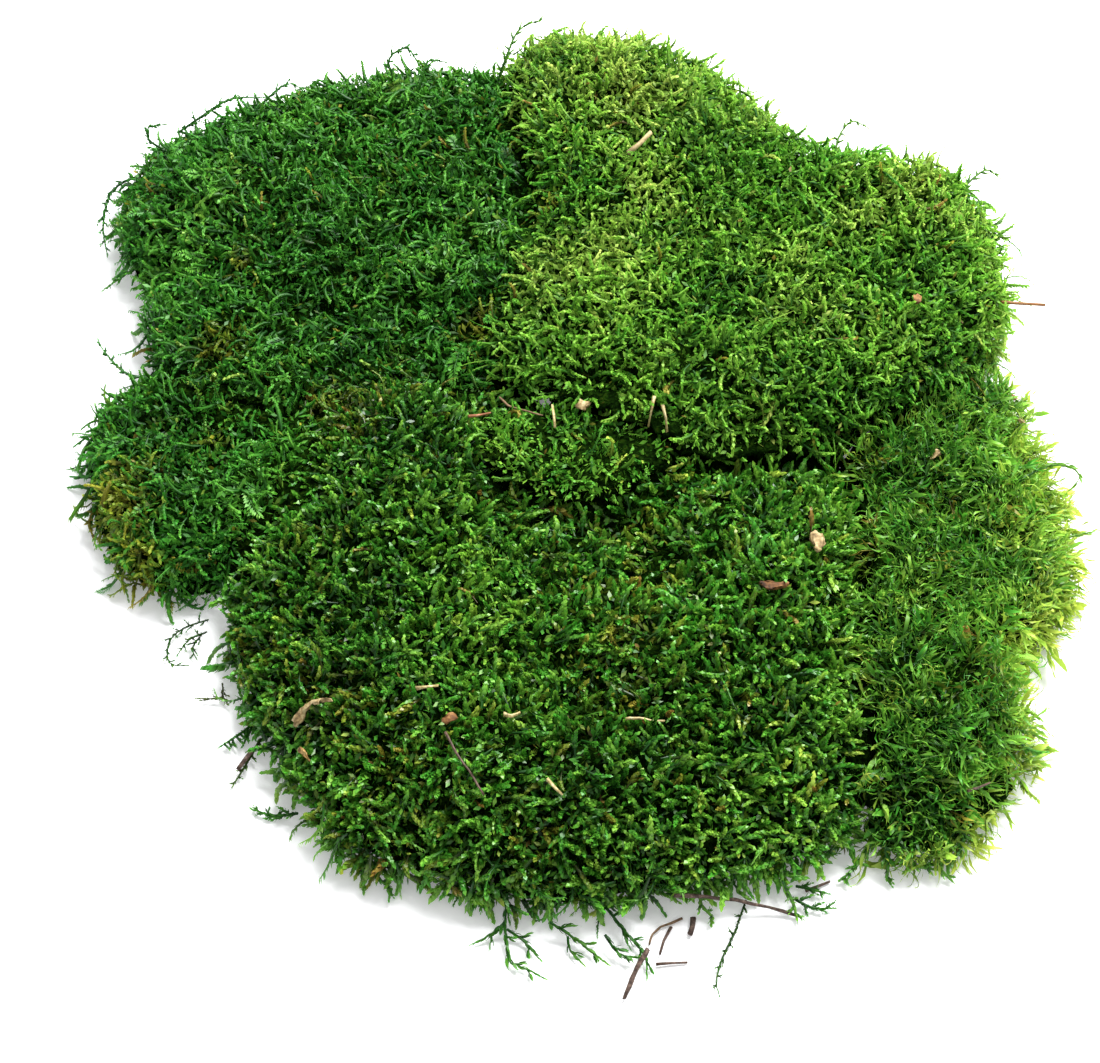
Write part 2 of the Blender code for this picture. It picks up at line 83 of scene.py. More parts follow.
def linear(code: str) -> tuple[float, float, float, float]:
    """Turn an sRGB hex colour into linear red, green, blue and alpha."""
    channels = [int(code[i:i + 2], 16) / 255 for i in (1, 3, 5)]
    lit = [c / 12.92 if c <= 0.04045 else ((c + 0.055) / 1.055) ** 2.4 for c in channels]
    return lit[0], lit[1], lit[2], 1.0


def add_node(
    tree: bpy.types.NodeTree,
    kind: str,
    inputs: Optional[dict[Union[str, int], object]] = None,
    stops: Stops = (),
    **settings: object,
) -> bpy.types.Node:
    """Add a node with its settings, values and links.

    Args:
        tree: The material's node tree.
        kind: The node's type name.
        inputs: For an input's name or number, the value it holds or the socket that feeds it.
        stops: The positions and hex colours of a colour ramp.
        settings: Properties of the node.

    Returns:
        The new node.
    """
    node = tree.nodes.new(kind)
    for name, value in settings.items():
        setattr(node, name, value)
    for place, (position, code) in enumerate(stops):
        ramp = node.color_ramp.elements
        stop = ramp[place] if place < min(2, len(ramp)) else ramp.new(position)
        stop.position = position
        stop.color = linear(code)
    for name, value in (inputs or {}).items():
        if isinstance(value, bpy.types.NodeSocket):
            tree.links.new(value, node.inputs[name])
        else:
            node.inputs[name].default_value = value
    return node


def blank_material(name: str) -> tuple[bpy.types.Material, bpy.types.NodeTree]:
    """Make a node material that holds nothing but its output.

    Args:
        name: The finish's name.

    Returns:
        The material and its node tree.
    """
    material = bpy.data.materials.new(name)
    material.use_nodes = True
    material.node_tree.nodes.clear()
    return material, material.node_tree


def solid_in_mm(node: bpy.types.Object) -> bmesh.types.BMesh:
    """Copy a node's solid, in millimetres and with its doubled corners merged."""
    solid = bmesh.new()
    solid.from_mesh(node.data)
    bmesh.ops.scale(solid, vec=(1 / MM,) * 3, verts=solid.verts)
    bmesh.ops.remove_doubles(solid, verts=solid.verts, dist=MERGE)
    return solid


def add_object(name: str, data: bpy.types.ID) -> bpy.types.Object:
    """Add an object to the scene."""
    made = bpy.data.objects.new(name, data)
    bpy.context.scene.collection.objects.link(made)
    return made


def add_shape(name: str, shape: bmesh.types.BMesh) -> bpy.types.Object:
    """Add a bmesh, which is freed, as an object with smooth shading."""
    mesh = bpy.data.meshes.new(name)
    shape.to_mesh(mesh)
    shape.free()
    mesh.shade_smooth()
    return add_object(name, mesh)


@dataclass(frozen=True)
class LeafFinish:
    """Living moss leaf, one cell thick: it glows where light falls through it and shines a little.

    The colours run along the piece's own map, from the shoot's foot to its tip and by its tone.
    """

    name: str
    feet: Stops                # colours in the depth of the mat, by tone: partly the older stems' own colour, partly painted shade
    tips: Stops                # colours of the young tips, by tone
    turn: tuple[float, float] = (0.12, 0.88)   # where the foot's colour ends and the tip's starts
    roughness: float = 0.5
    glow: float = 0.3          # share of the light that a leaf lets through
    shine: float = 0.25        # specular level

    def material(self) -> bpy.types.Material:
        """Build the node material."""
        material, tree = blank_material(self.name)
        place = add_node(tree, "ShaderNodeUVMap", uv_map=COLOUR_MAP)
        axes = add_node(tree, "ShaderNodeSeparateXYZ", {0: place.outputs[0]})
        feet = add_node(tree, "ShaderNodeValToRGB", {0: axes.outputs["Y"]}, self.feet)
        tips = add_node(tree, "ShaderNodeValToRGB", {0: axes.outputs["Y"]}, self.tips)
        share = add_node(
            tree, "ShaderNodeMapRange",
            {"Value": axes.outputs["X"], "From Min": self.turn[0], "From Max": self.turn[1]},
            interpolation_type="SMOOTHSTEP",
        )
        colour = add_node(
            tree, "ShaderNodeMix",
            {0: share.outputs[0], 6: feet.outputs[0], 7: tips.outputs[0]},
            data_type="RGBA",
        )
        leaf = add_node(
            tree, "ShaderNodeBsdfPrincipled",
            {"Base Color": colour.outputs[2], "Roughness": self.roughness,
             "Specular IOR Level": self.shine, "IOR": 1.45},
        )
        through = add_node(tree, "ShaderNodeBsdfTranslucent", {"Color": colour.outputs[2]})
        both = add_node(
            tree, "ShaderNodeMixShader",
            {0: self.glow, 1: leaf.outputs[0], 2: through.outputs[0]},
        )
        add_node(tree, "ShaderNodeOutputMaterial", {"Surface": both.outputs[0]})
        return material


@dataclass(frozen=True)
class FeltFinish:
    """Felted dead stems and old leaves: a matt, dark brown tangle with olive in it, whose near-black
    greens are painted shade between the shoots.
    """

    name: str = "dead_stem_felt_painted_shade"
    # the darkest stops are painted shade deep between the shoots
    colours: Stops = ((0.3, "#030702"), (0.48, "#0a1904"), (0.6, "#152c06"), (0.8, "#35330f"))
    fibre: float = 0.9         # mm between fibres

    def material(self) -> bpy.types.Material:
        """Build the node material."""
        material, tree = blank_material(self.name)
        place = add_node(tree, "ShaderNodeTexCoord")
        tangle = add_node(
            tree, "ShaderNodeTexNoise",
            {"Vector": place.outputs["Object"], "Scale": 1 / (self.fibre * MM * 2), "Detail": 5.0,
             "Distortion": 1.6},
        )
        colour = add_node(tree, "ShaderNodeValToRGB", {0: tangle.outputs[0]}, self.colours)
        bump = add_node(
            tree, "ShaderNodeBump",
            {"Height": tangle.outputs[0], "Distance": self.fibre * MM, "Strength": 1.0},
        )
        felt = add_node(
            tree, "ShaderNodeBsdfPrincipled",
            {"Base Color": colour.outputs[0], "Roughness": 1.0, "Specular IOR Level": 0.0,
             "Normal": bump.outputs[0]},
        )
        add_node(tree, "ShaderNodeOutputMaterial", {"Surface": felt.outputs[0]})
        return material


@dataclass(frozen=True)
class DeadFinish:
    """Dead plant matter, such as twig, needle, straw, bark or leaf: matt, streaked and spotted."""

    name: str
    colours: Stops
    streak: float = 1.2        # mm between streaks
    roughness: float = 0.75
    relief: float = 0.12       # mm that the grain stands proud
    shine: float = 0.35

    def material(self) -> bpy.types.Material:
        """Build the node material."""
        material, tree = blank_material(self.name)
        place = add_node(tree, "ShaderNodeTexCoord")
        grain = add_node(
            tree, "ShaderNodeTexNoise",
            {"Vector": place.outputs["Object"], "Scale": 1 / (self.streak * MM * 2), "Detail": 4.0,
             "Roughness": 0.65},
        )
        colour = add_node(tree, "ShaderNodeValToRGB", {0: grain.outputs[0]}, self.colours)
        bump = add_node(
            tree, "ShaderNodeBump",
            {"Height": grain.outputs[0], "Distance": self.relief * MM, "Strength": 0.8},
        )
        matter = add_node(
            tree, "ShaderNodeBsdfPrincipled",
            {"Base Color": colour.outputs[0], "Roughness": self.roughness,
             "Specular IOR Level": self.shine, "Normal": bump.outputs[0]},
        )
        add_node(tree, "ShaderNodeOutputMaterial", {"Surface": matter.outputs[0]})
        return material


@dataclass
class Form:
    """A shape as arrays, so that thousands of copies can be joined into one mesh.

    points holds places in mm, faces the corners of triangles, and grade each point's place on
    the colour map: its share of the way from foot to tip, and its tone.
    """

    points: np.ndarray
    faces: np.ndarray
    grade: np.ndarray

    @classmethod
    def from_bmesh(cls, mesh: bmesh.types.BMesh, grade: np.ndarray) -> "Form":
        """Take over a bmesh, which is freed.

        Args:
            mesh: The shape.
            grade: Each vertex's place on the colour map.

        Returns:
            The shape as arrays.
        """
        bmesh.ops.triangulate(mesh, faces=mesh.faces)
        points = np.array([vert.co for vert in mesh.verts])
        faces = np.array([[vert.index for vert in face.verts] for face in mesh.faces])
        mesh.free()
        return cls(points, faces, grade)

    @classmethod
    def joined(cls, forms: Sequence["Form"]) -> "Form":
        """Join several shapes into one."""
        starts = np.cumsum([0] + [len(form.points) for form in forms])
        return cls(
            np.concatenate([form.points for form in forms]),
            np.concatenate([form.faces + start for form, start in zip(forms, starts)]),
            np.concatenate([form.grade for form in forms]),
        )

    def copies(
        self,
        axes: np.ndarray,
        places: np.ndarray,
        grade_start: np.ndarray,
        grade_span: np.ndarray,
        sway: Optional[np.ndarray] = None,
    ) -> "Form":
        """Join many copies of this shape into one.

        Args:
            axes: For each copy, a matrix whose columns are its sized axes.
            places: For each copy, where its origin goes.
            grade_start: For each copy, where its grades start.
            grade_span: For each copy, what its grades are multiplied by.
            sway: For each copy, how far its tip leans over, in mm.

        Returns:
            The joined shape.
        """
        count, size = len(places), len(self.points)
        points = np.einsum("kij,nj->kni", axes, self.points) + places[:, None]
        if sway is not None:
            points += sway[:, None] * (self.grade[:, 0] ** 2)[None, :, None]
        faces = self.faces[None] + (np.arange(count) * size)[:, None, None]
        grade = grade_start[:, None] + self.grade[None] * grade_span[:, None]
        return Form(points.reshape(-1, 3), faces.reshape(-1, 3), grade.reshape(-1, 2))

    def to_object(self, name: str) -> bpy.types.Object:
        """Make the mesh object, in metres, with its leaves shaded round and its colour map.

        Args:
            name: The piece's name.

        Returns:
            The new object.
        """
        mesh = bpy.data.meshes.new(name)
        mesh.vertices.add(len(self.points))
        mesh.vertices.foreach_set("co", (self.points * MM).astype(np.float32).ravel())
        corners = self.faces.astype(np.int32).ravel()
        mesh.loops.add(len(corners))
        mesh.loops.foreach_set("vertex_index", corners)
        mesh.polygons.add(len(self.faces))
        mesh.polygons.foreach_set("loop_start", np.arange(len(self.faces), dtype=np.int32) * 3)
        mesh.polygons.foreach_set("use_smooth", np.full(len(self.faces), True))
        mesh.update(calc_edges=True)
        layer = mesh.uv_layers.new(name=COLOUR_MAP)
        layer.uv.foreach_set("vector", self.grade[corners].clip(0, 1).astype(np.float32).ravel())
        return add_object(name, mesh)


def unit(vectors: np.ndarray) -> np.ndarray:
    """The same vectors, each of length one."""
    return vectors / np.maximum(np.linalg.norm(vectors, axis=-1, keepdims=True), 1e-9)


@dataclass(frozen=True)
class Leaf:
    """One moss leaf, narrow at its foot and pointed at its tip."""

    length: float
    width: float
    widest: float = 0.45       # share of the length where it is widest
    bend: float = 30.0         # degrees that it curls back to the stem on its way
    cup: float = 0.25          # how far its edges wrap round the stem, as a share of its width
    rows: int = 2              # steps along it
    twist: float = 0.0         # degrees that it turns about its own length
    blunt: float = 1.0         # below one, its edges run side by side as on a ribbon

    def form(self) -> Form:
        """Shape the leaf from a small grid, with its foot at the origin and its tip along +Z.

        Returns:
            The leaf. +X is the side that faces away from the stem.
        """
        blade = bmesh.new()
        bmesh.ops.create_grid(blade, x_segments=1, y_segments=self.rows, size=1.0)
        fullness = math.log(0.5) / math.log(self.widest)
        curl = math.radians(self.bend)
        grade = {}
        for vert in blade.verts:
            side, share = vert.co.x, (vert.co.y + 1) / 2
            across = self.width / 2 * abs(math.sin(math.pi * share ** fullness)) ** self.blunt * side
            along = self.length * math.sin(curl * share) / curl
            inward = self.length * (1 - math.cos(curl * share)) / curl
            turn = math.radians(self.twist) * (share - 0.3)
            deep = -self.cup * abs(across) + across * math.sin(turn)
            vert.co = (deep - inward, across * math.cos(turn), along)
            grade[vert] = (share, side * SIDE_TONE)
        bmesh.ops.remove_doubles(blade, verts=blade.verts, dist=self.length * 1e-3)
        return Form.from_bmesh(blade, np.array([grade[vert] for vert in blade.verts]))


def tube_form(
    places: np.ndarray, ways: np.ndarray, widths: Sequence[float], steps: int, reach: float = 1.0,
) -> Form:
    """Bend a three-sided tube along a line.

    Args:
        places: Points along the line.
        ways: Its direction at each.
        widths: How thick it is at even steps from its foot to its tip, in mm.
        steps: Its number of steps.
        reach: The share of the colour map that it covers from foot to tip.

    Returns:
        The tube.
    """
    tube = bmesh.new()
    bmesh.ops.create_cone(
        tube, cap_ends=False, segments=3, radius1=0.5, radius2=0.5, depth=1.0)
    upright = [e for e in tube.edges if abs(e.verts[0].co.z - e.verts[1].co.z) > 0.5]
    if steps > 1:
        bmesh.ops.subdivide_edges(tube, edges=upright, cuts=steps - 1)
    shares = np.array([vert.co.z + 0.5 for vert in tube.verts])
    at = shares * (len(places) - 1)
    low = np.minimum(at.astype(int), len(places) - 2)
    centres = places[low] + (places[low + 1] - places[low]) * (at - low)[:, None]
    width = np.interp(shares, np.linspace(0, 1, len(widths)), widths)[:, None]
    across = unit(np.cross(ways[low], (0.31, 0.92, 0.13)))
    deep = np.cross(ways[low], across)
    flat = np.array([vert.co for vert in tube.verts])
    moved = centres + (across * flat[:, :1] + deep * flat[:, 1:2]) * width
    for vert, place in zip(tube.verts, moved):
        vert.co = place
    grade = np.stack([shares * reach, np.sign(flat[:, 0]) * SIDE_TONE], axis=1)
    return Form.from_bmesh(tube, grade)


DRIFT = 1.3                    # radians that the way of a stem's bend wanders along it
BEND_SPREAD = (0.5, 1.4)       # how much stems of one kind differ in their bend
FLAT_STRAY = 0.35              # radians that leaves in two rows stray from them
FLATTEN = 0.6                  # how far such leaves are pressed into one plane
STEM_DARKEN = 0.7              # how far a stem falls behind its leaves on the way to light
TURN_STRAY = 2.4               # times as far as in its spread, a leaf strays round the stem
EVEN_SIZE = 40.0               # degrees of strayed spread at which leaf sizes vary by all of it


class Rows(Enum):
    """How leaves stand round their stem."""

    ALL_ROUND = "all_round"
    TWO_SIDES = "two_sides"


@dataclass(frozen=True)
class Shoot:
    """A leafy shoot: its stem and the leaves along it."""

    length: float
    leaf: Leaf
    leaves: int
    spread: tuple[float, float] = (40.0, 15.0)   # degrees between leaf and stem, at foot and tip
    taper: tuple[float, float, float] = (0.8, 1.0, 0.6)   # leaf size at foot, middle and tip
    wander: float = 30.0       # degrees that the stem turns on its way
    rows: Rows = Rows.ALL_ROUND
    stem: tuple[float, ...] = (0.3, 0.1)   # mm thick from foot to tip, leaf bases and all
    stem_steps: int = 2
    bare: float = 0.05         # share of the stem below its first leaf
    light: float = 0.4         # share of the way from dark to light that each leaf has of its own
    unruly: float = 6.0        # degrees that its leaves stray from their order

    def line(self, rng: np.random.Generator) -> tuple[np.ndarray, np.ndarray]:
        """Let the stem wander on its way up; a flat shoot bows to its own underside.

        Args:
            rng: The source of chance.

        Returns:
            The points along the stem and its direction at each.
        """
        heading = rng.uniform(0, 2 * math.pi)
        if self.rows is Rows.TWO_SIDES:
            heading = math.pi / 2 + rng.normal(0, 0.5)
        drift = rng.normal(0, DRIFT)
        bend = math.radians(self.wander) * rng.uniform(*BEND_SPREAD)
        way, place = np.array([0.0, 0.0, 1.0]), np.zeros(3)
        places, ways = [place], [way]
        for step in range(self.leaves):
            turn = heading + drift * step / self.leaves * 2
            push = np.array([math.cos(turn), math.sin(turn), 0.0])
            way = unit(way + (push - way * (push @ way)) * bend / self.leaves)
            place = place + way * self.length / self.leaves
            places.append(place)
            ways.append(way)
        return np.array(places), np.array(ways)

    def dress(self, places: np.ndarray, ways: np.ndarray, rng: np.random.Generator) -> Form:
        """Set leaves along a line.

        Args:
            places: Points along the stem.
            ways: Its direction at each.
            rng: The source of chance.

        Returns:
            The stem with its leaves.
        """
        count = self.leaves
        shares = np.linspace(self.bare, 1.0, count)
        at = shares * (len(places) - 1)
        low = np.minimum(at.astype(int), len(places) - 2)
        feet = places[low] + (places[low + 1] - places[low]) * (at - low)[:, None]
        along = ways[low]
        if self.rows is Rows.ALL_ROUND:
            turns = np.arange(count) * GOLDEN_TURN + rng.uniform(0, 6)
        else:
            turns = np.arange(count) % 2 * math.pi + rng.normal(0, FLAT_STRAY, count)
        turns = turns + rng.normal(0, math.radians(self.unruly) * TURN_STRAY, count)
        first = unit(np.cross(along, (0.13, 0.99, 0.07)))
        second = np.cross(along, first)
        outward = first * np.cos(turns)[:, None] + second * np.sin(turns)[:, None]
        spread = np.radians(
            self.spread[0] + (self.spread[1] - self.spread[0]) * shares ** 2
            + rng.normal(0, self.unruly, count)
        )[:, None]
        upward = along * np.cos(spread) + outward * np.sin(spread)
        if self.rows is Rows.ALL_ROUND:
            away = outward * np.cos(spread) - along * np.sin(spread)
        else:
            away = -second
            upward = unit(upward - away * (upward * away).sum(axis=1, keepdims=True) * FLATTEN)
        across = unit(np.cross(upward, away))
        away = np.cross(across, upward)
        uneven = self.unruly / EVEN_SIZE
        size = np.interp(shares, (0, 0.5, 1), self.taper) * rng.uniform(1 - uneven, 1 + uneven, count)
        axes = np.stack([away, across, upward], axis=2) * size[:, None, None]
        start = np.stack(
            [shares * (1 - self.light), rng.normal(0, LEAF_TONE_SPREAD, count)], axis=1)
        span = np.stack([np.full(count, self.light), np.ones(count)], axis=1)
        leaves = self.leaf.form().copies(axes, feet, start, span)
        if self.stem_steps == 0:
            return leaves
        stem = tube_form(places, ways, self.stem, self.stem_steps, 1 - self.light * STEM_DARKEN)
        return Form.joined([stem, leaves])

    def grow(self, rng: np.random.Generator) -> Form:
        """Grow one plant, with its foot at the origin, along +Z."""
        return self.dress(*self.line(rng), rng)


def above_ground(form: Form) -> Form:
    """Ease what would dip into the ground to just above it."""
    depth, low = form.points[:, 2], GROUND_CLEARANCE
    eased = low + (EASE - low) * np.exp(np.minimum(depth - EASE, 0) / (EASE - low))
    form.points[:, 2] = np.where(depth < EASE, eased, depth)
    return form


class Surface:
    """The outside of a mat in millimetres, with round normals."""

    def __init__(self, node: bpy.types.Object) -> None:
        """Read a node's mesh.

        Args:
            node: The mat's object.
        """
        shell = solid_in_mm(node)
        bmesh.ops.triangulate(shell, faces=shell.faces)
        shell.normal_update()
        self.tree = BVHTree.FromBMesh(shell)
        self.points = np.array([vert.co for vert in shell.verts])
        self.normals = np.array([vert.normal for vert in shell.verts])
        self.faces = np.array([[vert.index for vert in face.verts] for face in shell.faces])
        self.face_normals = np.array([face.normal for face in shell.faces])
        shell.free()

    def points_on(
        self, density: float, rng: np.random.Generator,
    ) -> tuple[np.ndarray, np.ndarray]:
        """Pick points by chance, except on the underside.

        Args:
            density: Points a square millimetre.
            rng: The source of chance.

        Returns:
            The points and the normals there.
        """
        corners = self.points[self.faces]
        area = np.linalg.norm(
            np.cross(corners[:, 1] - corners[:, 0], corners[:, 2] - corners[:, 0]), axis=1) / 2
        area = area * (self.face_normals[:, 2] > UNDERSIDE)
        count = int(area.sum() * density)
        face = rng.choice(len(area), count, p=area / area.sum())
        mix = rng.dirichlet((1, 1, 1), count)
        places = (corners[face] * mix[..., None]).sum(axis=1)
        return places, unit((self.normals[self.faces[face]] * mix[..., None]).sum(axis=1))

    def thickness(self, places: np.ndarray, normals: np.ndarray) -> np.ndarray:
        """How thick the mat is below each point, in mm."""
        hits = [self.tree.ray_cast(Vector(p - n * JUST_INSIDE), Vector(-n))[3]
                for p, n in zip(places, normals)]
        return np.array([hit or 0.0 for hit in hits])

    def seats(self, spacing: float, rng: np.random.Generator) -> tuple[np.ndarray, np.ndarray]:
        """Pick points that keep a distance from each other.

        Args:
            spacing: The least distance in mm.
            rng: The source of chance.

        Returns:
            The points and the normals there.
        """
        places, normals = self.points_on(SEAT_TRIES / spacing ** 2, rng)
        taken: dict[tuple[int, int, int], list[np.ndarray]] = {}
        kept = []
        cells = np.floor(places / spacing).astype(int)
        steps = [(a, b, c) for a in (-1, 0, 1) for b in (-1, 0, 1) for c in (-1, 0, 1)]
        for index, (i, j, k) in enumerate(cells.tolist()):
            place = places[index]
            near = [p for a, b, c in steps for p in taken.get((i + a, j + b, k + c), ())]
            if near and ((np.array(near) - place) ** 2).sum(axis=1).min() < spacing ** 2:
                continue
            taken.setdefault((i, j, k), []).append(place)
            kept.append(index)
        return places[kept], normals[kept]


def covered(place: np.ndarray, normal: np.ndarray, others: Iterable[Surface]) -> bool:
    """Tell whether another mat lies over this point.

    Args:
        place: The point.
        normal: The surface's normal there.
        others: The other mats.

    Returns:
        True where a mat is close in front of the point or just above it.
    """
    up = Vector((0, 0, 1))
    for other in others:
        if other.tree.ray_cast(Vector(place), Vector(normal), COVER_AHEAD)[0] is not None:
            return True
        if other.tree.ray_cast(Vector(place), up, COVER_ABOVE)[0] is not None:
            return True
    return False


def field_noise(places: np.ndarray, size: float, seed: float) -> np.ndarray:
    """Smooth noise over the plan, from about -1 to 1.

    Args:
        places: Points in mm.
        size: The width of its lumps in mm.
        seed: What sets one field apart from another.

    Returns:
        A value for each point.
    """
    return np.array([noise.noise(Vector((x / size, y / size, seed))) for x, y, _ in places]) * NOISE_GAIN


@dataclass(frozen=True)
class Patch:
    """A round spot of a mat where it is higher or lower, or darker or lighter, than around it. Where it
    marks a hollow or the edge of a mat that lies over another, its darker colour is painted shade.
    """

    x: float                   # mm in the plan
    y: float
    radius: float
    rise: float = 0.0          # mm
    tone: float = 0.0
    lighten: float = 0.0         # how much further its shoots are on the way from dark to light; below nought in a hollow, painted shade

    def weight(self, places: np.ndarray) -> np.ndarray:
        """How strongly it is felt at each point."""
        away = places[:, :2] - PLAN_ORIGIN - (self.x, self.y)
        return np.exp(-(away ** 2).sum(axis=1) / self.radius ** 2)


@dataclass(frozen=True)
class Habit:
    """How the shoots of a mat stand."""

    spacing: float             # mm between shoots
    upright: float = 1.0       # pull along the surface's normal
    scatter: float = 0.8       # pull in a direction of the shoot's own
    clump: float = 0.5         # pull that neighbours share
    clump_size: float = 6.0    # mm across such a group
    comb: tuple[float, float, float] = (0.0, 0.0, 0.0)   # pull that the whole mat shares
    lumps: float = 2.5         # mm
    droop: float = 0.12        # share of its length by which a tip hangs
    rim_droop: float = 0.2     # more of it at the rim
    fringe: float = 3.0        # mm that the rim's shoots stand out
    stray: float = 0.03        # share of long shoots that stand clear of the rest
    tone: float = 0.5
    tone_patches: float = 0.12
    tone_scatter: float = 0.05
    tone_rim: float = 0.0      # added where the mat falls away to its edge
    lighten: float = 0.0         # how much further all shoots are on the way from dark to light


class Slot(Enum):
    """The record's material slots."""

    COOL_GREEN = "cool_green_moss"
    DEEP_GREEN = "deep_green_moss"
    BRIGHT_GREEN = "bright_green_moss"
    LEAFY = "leafy_moss"
    FEATHERY = "feathery_moss"
    SPRIGS = "loose_sprigs"
    TWIG = "dead_twig"
    NEEDLE = "conifer_needle"
    STRAW = "dry_straw"
    BARK = "bark"
    LEAF = "dry_leaf"


def enter(piece: bpy.types.Object, slot: Slot, *nodes: str) -> None:
    """Let a new piece ride on its body and hide the nodes that it stands for."""
    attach(piece, BODY)
    if nodes:
        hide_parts(*nodes)


LUMP_SIZE = 17.0               # mm across a lump of a mat
LUMP_SHARE = 0.7               # share of a mat's relief that its lumps make
CREASE_SIZE = 8.0              # mm between creases
CREASE_SLOPE = 3.0             # how steep their sides are
TONE_LUMP = 30.0               # mm across a spot of one tone
TONE_TUFT = 9.0                # mm across a smaller one in it
HEIGHT_SHADE_TONE = 0.015              # painted shade: tone that a mm of height adds, so hollows and creases are darker and lumps lighter
DEAD_TONES = (0.0, 0.25)
PALE_TONES = (0.85, 1.0)
YOUTH_LUMP = 24.0              # mm across a younger or older spot
YOUTH_SPREAD = 0.08
TUFT_SIZE = 9.0                # mm across a tuft of the fringe
TUFT_GAP = -0.4                # least noise between tufts
FRINGE_CHANCE = (1.2, 2.5)     # shape of the chance by which rim shoots stand out
LEAST_UPWARD = 0.05            # least upward part of the normal below a shoot
LEAST_OUTWARD = 0.18           # least part of a shoot's way along the normal
RIM_SLOPE = 1.3                # how steep the surface is before it counts as rim
RIM_STRAYS = 5                 # how many times more strays stand at the rim
STRAY_SIZE = 1.15
STRAY_RISE = (1.0, 4.0)        # mm that strays stand over the rest
PRESS_REACH = 1.4              # mm from the litter within which shoots are pressed down
PRESS_HEIGHT = 0.2             # mm that they still stand over the surface
LEAST_LIFT = 2.0               # mm from a shoot's foot to its tip, along the normal
LOWEST_TIP = 1.2               # mm over the ground
FOOT_ALLOWANCE = 0.5           # mm that a foot may be below that
HANG_SPREAD = (0.3, 1.5)       # how much shoots differ in how far they hang
WIDTH_SPREAD = (0.85, 1.15)    # and in width
FLAT_SPIN = 0.5                # radians that a flat shoot turns from the light
TONE_RANGE = (0.03, 0.97)
LOWER_SIZES = (0.75, 1.35)     # least and greatest size of the lower leaves
LOWER_FOOT = 1.0               # mm over the ground
LOWER_SHADE_PER_MM = 0.06            # painted shade: light on the colour map that they lose with each mm of depth
LOWER_LIGHT_SPREAD = 0.07
LOWER_LIGHTEST = 0.6           # the most light that a lower leaf's foot has
LOWER_SPAN = 0.25              # and what it gains up to its tip
FELT_LUMPS = ((5.0, 1.4), (2.2, 0.8))   # mm across and mm deep
FELT_SINK = 0.7                # share of a hollow's depth by which the felt sinks with it
FELT_UNDERSIDE = 0.4           # mm over the ground up to which the felt's corners are its underside
FELT_FLOORS = (0.2, 0.6)       # lowest mm for its underside, and for the rest of it
NEIGHBOUR_REACH = 3.0          # mm from another mat within which the felt fills up
FELT_LEAST = 0.45              # share of its depth that it has there
FAR = 99.0                     # mm, where no other mat is near


